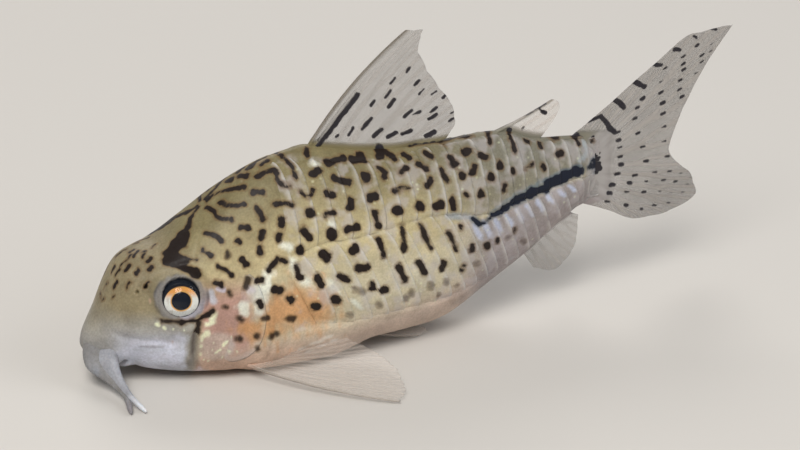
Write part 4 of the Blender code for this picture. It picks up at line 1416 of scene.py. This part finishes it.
def fin_piece(name, shape, columns, rows, marks, lead, smoke, lead_at=0.0, forks=True, rod=0.05,
              web=0.05, notch=0.015, dark_front=1.0):
    """A fin as one closed sheet. marks are strokes of (radius, points) in millimetres.

    lead is how stout the spine is and lead_at the ray it stands at, rod how stout the rays are and web
    how thick the skin is. smoke is how much the web hides, and notch how far the rim is drawn in.
    """
    q, r = np.meshgrid(np.linspace(0, 1, columns), np.linspace(0, 1, rows) ** 0.9)
    ridge, offset = ray_ridge(q, r, shape, forks)
    drawn_in = 1 - notch * (2 * np.abs(offset)) ** 2 * smoothstep((r - 0.7) / 0.3)
    middle = shape.place(q, r * drawn_in)
    clear = out_of_body(shape, middle, r)
    ridge = ridge * smoothstep((clear + 0.3) / 1.2)
    spine = np.exp(-((q * shape.rays - lead_at) / 0.20) ** 2)
    front = np.exp(-(q * shape.rays / 0.30) ** 2)
    half = web / 2 + ROOT_SWELL * smoothstep(1 - clear / 1.2) + rod * (1 - 0.6 * r) * ridge
    half = half + lead * np.maximum(spine, 0.6 * front) * (1 - 0.7 * r)
    ends = np.sqrt(np.clip(np.minimum(r, 1 - r) / 0.02, 0, 1))
    thickness = (half * ends)[..., None] * shape.normal
    distance, _ = mark_values(middle)
    for radius, line in marks:
        distance = np.minimum(distance, stroke_distance(middle, line, 2.0) - radius)
    paint = np.broadcast_to(root_colours(shape, q[0])[None], (*q.shape, 3))
    fade = np.clip(1.15 - r, 0, 1)
    values = {"ray": ridge, "clear": clear, "mark": distance, "spine": spine * fade,
              "front": front * dark_front, "paint": paint, "smoke": np.full(q.shape, smoke)}
    return closed_sheet(name, middle - thickness, middle + thickness, values)


def finish_fin(piece, node):
    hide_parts(node)
    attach(piece, "root")
    print(node, *triangles([piece]), "triangles")
    return piece


def upright(places):
    """Points of the fish's middle plane from (x, z) pairs."""
    return [(x, 0.0, z) for x, z in places]


def swung(places):
    """A line in the fish's middle plane from (x, z) pairs, swung aside with the tail."""
    return np.array([(x, float(tail_swing(x, z)), z) for x, z in places])


# %% [markdown]
# ### The dorsal fin
#
# It begins with a stout spine that the fish can lock upright, followed by seven soft rays. A dark
# streak runs up behind the spine, and small dark dashes follow the rays.

# %% Dorsal fin
DORSAL_ROOT = upright(((20.6, 17.9), (23.5, 17.0), (27.5, 16.4), (30.6, 16.2)))
DORSAL_RIM = upright((
    (30.3, 28.5), (31.9, 28.3), (31.5, 26.7), (32.3, 24.6), (33.6, 22.5), (34.7, 20.8), (35.0, 19.2),
    (34.2, 17.8),
))
DORSAL_MARKS = (
    (0.26, (22.0, 18.7), (23.3, 20.1), (24.7, 21.7), (25.8, 23.0)), (0.17, (28.9, 23.6), (29.3, 24.1)),
    (0.20, (27.1, 21.8), (27.4, 22.2)), (0.15, (28.4, 22.4), (28.9, 23.0)),
    (0.20, (28.7, 21.5), (29.2, 22.1)), (0.14, (31.1, 23.2), (31.5, 23.6)),
    (0.13, (31.6, 22.3), (32.0, 22.7)), (0.13, (32.8, 22.1), (33.2, 22.3)),
    (0.13, (33.8, 21.6), (34.1, 21.9)), (0.17, (26.2, 19.7), (27.1, 20.6)),
    (0.22, (27.3, 18.9), (28.0, 19.4)), (0.14, (25.0, 19.3), (25.4, 19.9)),
    (0.19, (30.2, 20.3), (30.9, 20.8)), (0.14, (31.0, 20.4), (31.7, 20.6)),
    (0.14, (32.6, 20.4), (33.2, 20.8)), (0.17, (32.5, 19.8), (33.2, 20.1)),
    (0.12, (34.6, 20.0), (35.0, 20.2)), (0.12, (34.4, 19.3), (34.8, 19.5)),
    (0.21, (28.7, 18.6), (29.4, 18.9)), (0.20, (30.0, 18.7), (30.8, 18.9)),
    (0.22, (32.2, 18.2), (33.0, 18.4)), (0.12, (23.8, 19.3), (24.0, 19.5)),
    (0.12, (30.4, 24.5), (30.7, 24.9)),
)
dorsal_shape = FinShape(DORSAL_ROOT, DORSAL_RIM, bow=0.05, wave=0.06, rays=8)
dorsal_marks = [(radius, np.array(upright(places))) for radius, *places in DORSAL_MARKS]
dorsal = fin_piece("dorsal", dorsal_shape, 281, 90, dorsal_marks, lead=0.16, smoke=0.30, lead_at=0.62,
                   notch=0.012)
finish_fin(dorsal, "dorsal_fin")

# %% [markdown]
# ### The small fin behind it
#
# The adipose fin of an armoured catfish is a short spine with a scrap of skin behind it.

# %% Adipose fin
ADIPOSE_ROOT = upright(((37.4, 17.2), (42.6, 15.9)))
ADIPOSE_RIM = upright(((44.3, 19.95), (44.85, 19.7), (45.05, 19.1), (44.6, 18.1), (43.8, 17.1)))
ADIPOSE_MARKS = (
    (0.20, (43.4, 18.9), (43.7, 18.75)), (0.10, (41.4, 17.5), (41.6, 17.7)),
    (0.18, (40.9, 18.66), (42.0, 19.06), (43.6, 19.68)), (0.10, (43.0, 19.3), (43.3, 19.0)),
)
adipose_shape = FinShape(ADIPOSE_ROOT, ADIPOSE_RIM, bow=-0.02, swings=True, rays=3)
adipose_marks = [(radius, swung(places)) for radius, *places in ADIPOSE_MARKS]
adipose = fin_piece("adipose", adipose_shape, 81, 60, adipose_marks, lead=0.17, smoke=0.16, forks=False,
                    rod=0.0, web=0.07, notch=0.0)
finish_fin(adipose, "adipose_fin")

# %% [markdown]
# ### The tail fin
#
# Its two lobes spread from the end of the tail, the upper one longer. Short dark dots stand in upright
# columns. The columns are drawn one by one. A loop spreads the dots evenly along each and turns every
# dot the way the rays run there.

# %% Tail fin
CAUDAL_ROOT = upright(((46.6, 15.0), (48.2, 14.4), (48.6, 12.8), (48.2, 11.2), (46.6, 10.3)))
CAUDAL_RIM = upright((
    (46.0, 15.8), (49.9, 18.5), (54.2, 21.4), (58.6, 23.9), (62.8, 24.0), (58.6, 18.4), (56.4, 13.0),
    (58.9, 9.9), (60.7, 6.5), (57.2, 5.6), (53.4, 6.3), (50.3, 8.0), (47.4, 9.3),
))
UPPER_EDGE_DASHES = (
    (0.24, (49.2, 17.5), (49.7, 16.9), (50.1, 16.2)), (0.26, (50.1, 16.2), (50.6, 15.7)),
    (0.16, (48.0, 17.2), (49.0, 17.5)), (0.28, (50.6, 18.8), (51.1, 18.5), (51.5, 17.9)),
    (0.26, (52.6, 20.2), (53.6, 19.6)), (0.22, (54.5, 21.6), (55.3, 21.4)),
    (0.20, (56.6, 22.7), (57.2, 22.5)), (0.17, (58.6, 23.6), (58.9, 23.4)),
    (0.12, (60.3, 24.0), (61.0, 23.8)),
)
TAIL_COLUMNS = (  # radius, number of dots, places of the line they stand on
    (0.17, 9, (51.0, 15.6), (51.1, 14.0), (51.3, 12.4), (50.6, 10.6), (50.1, 8.9)),
    (0.26, 3, (48.2, 13.4), (48.5, 13.6), (48.8, 13.5)),
    (0.20, 5, (48.85, 13.8), (48.9, 13.1), (49.0, 12.4)),
    (0.17, 6, (53.4, 18.4), (52.7, 17.0), (53.2, 14.8), (53.9, 12.1)),
    (0.16, 8, (55.7, 20.9), (55.3, 19.0), (55.6, 17.1), (55.5, 15.0), (56.1, 12.3)),
    (0.15, 6, (57.5, 21.8), (57.6, 20.8), (57.2, 19.2), (57.6, 17.9)),
    (0.10, 4, (59.1, 22.6), (59.6, 21.2), (59.0, 19.9)), (0.08, 2, (60.5, 22.6), (60.4, 21.8)),
    (0.15, 4, (52.8, 11.0), (52.1, 10.0), (52.0, 8.2)), (0.14, 4, (54.9, 11.0), (54.0, 9.6), (54.0, 7.2)),
    (0.13, 4, (56.4, 10.7), (55.9, 9.2), (55.8, 6.7)), (0.11, 4, (57.8, 10.2), (57.4, 8.6), (57.3, 6.6)),
    (0.09, 3, (59.2, 9.2), (59.0, 7.4)),
)
caudal_shape = FinShape(CAUDAL_ROOT, CAUDAL_RIM, swings=True, wave=0.05, rays=17)


def caudal_marks():
    """Strong dashes along the upper edge, and short dots spread evenly along each column."""
    hand = np.random.default_rng(11)
    marks = [(radius, swung(places)) for radius, *places in UPPER_EDGE_DASHES]
    for radius, count, *places in TAIL_COLUMNS:
        line = along(upright(places))
        for share in np.linspace(0, 1, count):
            x, _, z = line(share) + hand.normal(0, 0.07, 3)
            rise = (z - 12.7) / (x - 40.0)  # the rays fan out, and each dot lies along its ray
            size = radius * hand.uniform(0.85, 1.1)
            marks.append((size, swung(((x - 0.16, z - 0.16 * rise), (x + 0.16, z + 0.16 * rise)))))
    return marks


caudal = fin_piece("caudal", caudal_shape, 561, 80, caudal_marks(), lead=0.10, smoke=0.46, rod=0.04,
                   notch=0.012)
finish_fin(caudal, "caudal_fin")

# %% [markdown]
# ### Anal, pectoral and pelvic fins
#
# The fins below are clear, and only the pectoral fins carry a small mark each. These are spread on the
# ground as props, each behind a strong spine.

# %% Lower fins
ANAL_ROOT = upright(((41.0, 6.4), (44.8, 9.2)))
ANAL_RIM = upright(((42.7, 3.7), (44.6, 3.1), (46.2, 4.2), (47.0, 6.0), (47.1, 8.2)))
anal_shape = FinShape(ANAL_ROOT, ANAL_RIM, swings=True, wave=0.04, rays=6)
anal = fin_piece("anal", anal_shape, 161, 48, [], lead=0.06, smoke=0.26, rod=0.04, dark_front=0.3)
finish_fin(anal, "anal_fin")

PECTORAL_ROOT = ((12.9, 4.8, 1.3), (15.4, 5.5, 1.4))
PECTORAL_RIM = ((24.3, 15.1, 0.25), (25.5, 13.3, 0.6), (25.6, 11.3, 1.2), (24.4, 9.3, 2.3), (21.9, 7.8, 3.6))
PELVIC_ROOT = ((25.8, 3.2, 1.3), (27.6, 2.6, 1.3))
PELVIC_RIM = ((30.4, 3.1, 0.25), (31.3, 2.6, 0.3), (31.5, 1.9, 0.35), (30.6, 1.4, 0.4))
PECTORAL_MARK = ((20.4, 8.2, 0.8), (20.6, 8.3, 0.8))
PAIRED_FINS = (  # kind, root line, rim line, bow, number of rays, how stout the spine is, marks
    ("pectoral", PECTORAL_ROOT, PECTORAL_RIM, -0.06, 9, 0.10, [(0.16, PECTORAL_MARK)]),
    ("pelvic", PELVIC_ROOT, PELVIC_RIM, -0.05, 6, 0.08, []),
)
lower_fins = [anal]
for side, word in ((-1, "left"), (1, "right")):
    for kind, root, rim, bow, rays, lead, marks in PAIRED_FINS:
        ends = [np.array(line) * (1, side, 1) for line in (root, rim)]
        shape = FinShape(*ends, normal=(0, 0, 1), bow=bow * side, wave=0.03, rays=rays)
        marks = [(radius, np.array(line) * (1, side, 1)) for radius, line in marks]
        piece = fin_piece(f"{kind}_{word}", shape, 261, 70, marks, lead=lead, smoke=0.10, lead_at=0.3,
                          dark_front=0.6)
        lower_fins.append(finish_fin(piece, f"{kind}_fin_{word}"))

# %% [markdown]
# ## Finishes
#
# Every finish is built from nodes. Patterns are placed in millimetres on the piece itself, so they stay
# where they are from every side. A small helper adds nodes and joins them, to keep each recipe short.

# %% Node helper
class Recipe:
    """Builds one material. Each call adds a node and gives back its output."""

    def __init__(self, name):
        self.material = bpy.data.materials.new(name)
        self.material.use_nodes = True
        self.tree = self.material.node_tree
        self.shader = self.tree.nodes["Principled BSDF"]
        place = self.node("ShaderNodeTexCoord", {}, "Object")
        to_millimetres = {0: place, 1: (1000, 1000, 1000)}
        self.place = self.node("ShaderNodeVectorMath", to_millimetres, operation="MULTIPLY")

    def node(self, kind, inputs, output=0, **settings):
        made = self.tree.nodes.new(kind)
        for key, value in settings.items():
            setattr(made, key, value)
        for key, value in inputs.items():
            self.feed(made.inputs[key], value)
        return made.outputs[output]

    def feed(self, socket, value):
        """Joins a socket to an output or sets it to a plain value."""
        if isinstance(value, bpy.types.NodeSocket):
            self.tree.links.new(value, socket)
        elif isinstance(value, tuple) and len(value) == 3 and len(socket.default_value) == 4:
            socket.default_value = (*value, 1)
        else:
            socket.default_value = value

    def stored(self, name, colour=False):
        """A value kept on the piece's points."""
        return self.node("ShaderNodeAttribute", {}, "Color" if colour else "Fac", attribute_name=name)

    def noise(self, per_mm, detail):
        inputs = {"Vector": self.place, "Scale": per_mm, "Detail": detail, "Roughness": 0.55}
        return self.node("ShaderNodeTexNoise", inputs)

    def sums(self, operation, *values):
        return self.node("ShaderNodeMath", dict(enumerate(values)), operation=operation)

    def ramp(self, value, low, high, start=0.0, end=1.0):
        """Takes low..high smoothly to start..end."""
        inputs = {"Value": value, "From Min": low, "From Max": high, "To Min": start, "To Max": end}
        return self.node("ShaderNodeMapRange", inputs, interpolation_type="SMOOTHSTEP")

    def mix(self, share, first, second, blend="MIX"):
        inputs = {0: share, 6: first, 7: second}
        return self.node("ShaderNodeMix", inputs, 2, data_type="RGBA", blend_type=blend)

    def ragged(self, distance, *clouds):
        """Moves a mark's edge in and out by clouds of (how many per millimetre, detail, millimetres)."""
        for per_mm, detail, far in clouds:
            centred = self.sums("ADD", distance, -far / 2)
            distance = self.sums("MULTIPLY_ADD", self.noise(per_mm, detail), far, centred)
        return distance

    def bump(self, height, strength, distance=0.03 * MM, under=None):
        inputs = {"Height": height, "Strength": strength, "Distance": distance}
        if under is not None:
            inputs["Normal"] = under
        return self.node("ShaderNodeBump", inputs)

    def finish(self, sockets):
        for name, value in sockets.items():
            self.feed(self.shader.inputs[name], value)
        return self.material


# %% [markdown]
# ### Wet skin and plates
#
# The broad colours and the marks are already on the points. The material sharpens each mark at its
# edge, with a narrow brown border, and breaks that edge up a little, as pigment cells do. Over it lie a
# fine grain, scattered silver-green glints painted into the colour, pale streaks of painted sheen along
# the edges of the plates and gill covers, and a wet gloss.

# %% Skin finish
MARK_BLACK = (0.017, 0.011, 0.009)
MARK_BROWN = (0.150, 0.080, 0.032)


def skin_finish():
    skin = Recipe("wet_skin")
    paint, plated = skin.stored("paint", colour=True), skin.stored("plated")
    mark, faint = skin.stored("mark"), skin.stored("faint")
    clouds = skin.ramp(skin.noise(0.45, 4), 0.3, 0.7, 0.86, 1.10)
    grain = skin.ramp(skin.noise(5.0, 3), 0.25, 0.75, 0.88, 1.10)
    shade = skin.sums("MULTIPLY", clouds, grain)
    grey = skin.node("ShaderNodeCombineColor", {0: shade, 1: shade, 2: shade})
    base = skin.mix(1.0, paint, grey, "MULTIPLY")
    bare = skin.sums("SUBTRACT", 1.0, plated)
    smudge = skin.sums("MULTIPLY", skin.ramp(skin.noise(0.55, 4), 0.42, 0.70, 0.0, 0.30), bare)
    base = skin.mix(smudge, base, skin.mix(1.0, base, (0.55, 0.50, 0.46), "MULTIPLY"))
    lilac = skin.sums("MULTIPLY", skin.ramp(skin.noise(0.60, 2), 0.45, 0.65, 0.0, 0.42), plated)
    base = skin.mix(lilac, base, (0.47, 0.43, 0.44))
    # Scattered glints on the plates: small silver-green painted highlights in the colour.
    cells = skin.node("ShaderNodeTexVoronoi", {"Vector": skin.place, "Scale": 2.6}, "Color")
    chosen = skin.node("ShaderNodeSeparateColor", {0: cells}, 0)
    spot = skin.node("ShaderNodeTexVoronoi", {"Vector": skin.place, "Scale": 2.6}, "Distance")
    glint = skin.sums("MULTIPLY", skin.ramp(chosen, 0.92, 0.98), skin.ramp(spot, 0.50, 0.05))
    glint = skin.sums("MULTIPLY", glint, plated)
    base = skin.mix(skin.sums("MULTIPLY", glint, 0.4), base, (0.75, 0.78, 0.52))
    # Pale streaks of painted sheen along the edges of the plates and gill covers, broken into patches.
    sheen_patches = skin.ramp(skin.noise(0.5, 3), 0.36, 0.60, 0.0, 0.60)
    streak = skin.sums("MULTIPLY", skin.stored("edge"), sheen_patches)
    base = skin.mix(streak, base, (0.64, 0.60, 0.56))
    ragged = skin.ragged(mark, (2.4, 3, 0.16), (0.95, 1, 0.34))
    firm = skin.ramp(faint, 0.0, 1.0, 1.0, 0.0)
    navy = skin.ramp(faint, -0.05, -0.15)
    border = skin.sums("MULTIPLY", skin.ramp(ragged, 0.26, 0.02), skin.sums("MULTIPLY", firm, 0.55))
    softness = skin.sums("MAXIMUM", skin.sums("MULTIPLY_ADD", faint, 0.36, 0.07), 0.06)
    inside = skin.sums("MULTIPLY", skin.ramp(skin.sums("DIVIDE", ragged, softness), 1.0, -1.0), firm)
    base = skin.mix(border, base, skin.mix(navy, MARK_BROWN, (0.055, 0.080, 0.110)))
    base = skin.mix(inside, base, skin.mix(navy, MARK_BLACK, (0.012, 0.015, 0.026)))
    rough = skin.ramp(skin.noise(3.0, 2), 0.3, 0.7, 0.40, 0.54)
    pores = skin.bump(skin.noise(7.0, 3), 0.35)
    knobs = skin.bump(skin.noise(1.3, 2), 0.5, 0.10 * MM, pores)
    return skin.finish({
        "Base Color": base, "Roughness": rough, "Normal": knobs, "Coat Weight": 0.03, "Coat Roughness": 0.25,
        "Subsurface Weight": 0.12, "Subsurface Radius": (0.9, 0.5, 0.35), "Subsurface Scale": 0.5 * MM,
        "Specular IOR Level": 0.15,
    })


wet_skin = skin_finish()
for piece in [skin, *armour_pieces, *gill_covers, *barbels]:
    piece.data.materials.append(wet_skin)
print("wet skin:", len(wet_skin.node_tree.nodes), "nodes")

# %% [markdown]
# ### Fin skin
#
# The web is a smoky skin, clear enough to show the ground through it. The rays are milky, and the marks
# are as dark as on the body. Where a fin leaves the body it takes the colour of the skin.

# %% Fin finish
def fin_finish():
    fin = Recipe("fin_skin")
    ray, clear, mark = fin.stored("ray"), fin.stored("clear"), fin.stored("mark")
    spine, front = fin.stored("spine"), fin.stored("front")
    smoke = fin.stored("smoke")
    web = fin.mix(fin.ramp(fin.noise(0.5, 2), 0.3, 0.7), (0.225, 0.205, 0.185), (0.290, 0.265, 0.240))
    base = fin.mix(fin.sums("MULTIPLY", ray, 0.7), web, (0.42, 0.38, 0.34))
    base = fin.mix(fin.ramp(smoke, 0.28, 0.12), base, (0.62, 0.54, 0.47))
    base = fin.mix(fin.sums("MULTIPLY", front, 0.8), base, (0.17, 0.14, 0.10))
    # The spine is painted pale along its length: a painted highlight.
    base = fin.mix(fin.sums("MULTIPLY", spine, 0.7), base, (0.50, 0.47, 0.43))
    inside = fin.ramp(fin.ragged(mark, (3.0, 2, 0.14), (1.1, 1, 0.30)), 0.06, -0.06)
    cover = fin.sums("MULTIPLY_ADD", ray, 0.16, smoke)
    cover = fin.sums("MAXIMUM", cover, fin.sums("MULTIPLY", fin.sums("MAXIMUM", spine, front), 0.8))
    at_root = fin.ramp(clear, 0.9, 0.0)
    base = fin.mix(at_root, base, fin.stored("paint", colour=True))
    base = fin.mix(inside, base, (0.020, 0.017, 0.022))
    cover = fin.sums("MAXIMUM", cover, at_root)
    cover = fin.sums("MAXIMUM", cover, fin.sums("MULTIPLY", inside, 0.95))
    rough = fin.ramp(fin.noise(2.0, 2), 0.3, 0.7, 0.38, 0.50)
    return fin.finish({"Base Color": base, "Alpha": cover, "Roughness": rough, "Specular IOR Level": 0.3})


fin_skin = fin_finish()
for piece in [dorsal, adipose, caudal, *lower_fins]:
    piece.data.materials.append(fin_skin)
print("fin skin:", len(fin_skin.node_tree.nodes), "nodes")

# %% [markdown]
# ### Eyes
#
# From the middle outwards: the black pupil, a thin gold line, a white iris that is gold above and
# clouded with brown, and a dark ring of painted shade where the ball meets the skin, broader above.

# %% Eye finish
def eye_finish():
    eye = Recipe("eye")
    away = eye.stored("from_pupil")
    upward = eye.stored("upward")
    gold = eye.mix(eye.ramp(upward, 0.05, 0.45), (0.90, 0.90, 0.84), (0.86, 0.40, 0.10))
    gold = eye.mix(eye.ramp(eye.noise(2.2, 4), 0.48, 0.75, 0.0, 0.45), gold, (0.42, 0.30, 0.20))
    base = eye.mix(eye.ramp(away, 0.89, 1.00), (0.78, 0.42, 0.12), gold)
    base = eye.mix(eye.ramp(away, 0.87, 0.82), base, (0.002, 0.005, 0.014))
    # A dark ring of painted shade where the ball meets the skin, broader above.
    rim = eye.sums("MULTIPLY_ADD", eye.sums("MAXIMUM", upward, 0.0), 0.22, away)
    base = eye.mix(eye.ramp(rim, 1.45, 1.53), base, (0.006, 0.008, 0.014))
    return eye.finish({"Base Color": base, "Roughness": 0.35, "Specular IOR Level": 0.08,
                       "Coat Weight": 0.1, "Coat Roughness": 0.05})


def cornea_finish():
    return Recipe("cornea").finish({"Base Color": (0.02, 0.025, 0.035), "Alpha": 0.12, "Roughness": 0.02,
                                    "IOR": 1.8, "Specular IOR Level": 1.0})


eye_paint, cornea_clear = eye_finish(), cornea_finish()
for ball, dome in zip(eyes, corneas):
    ball.data.materials.append(eye_paint)
    dome.data.materials.append(cornea_clear)
print("eye:", len(eye_paint.node_tree.nodes), "nodes")
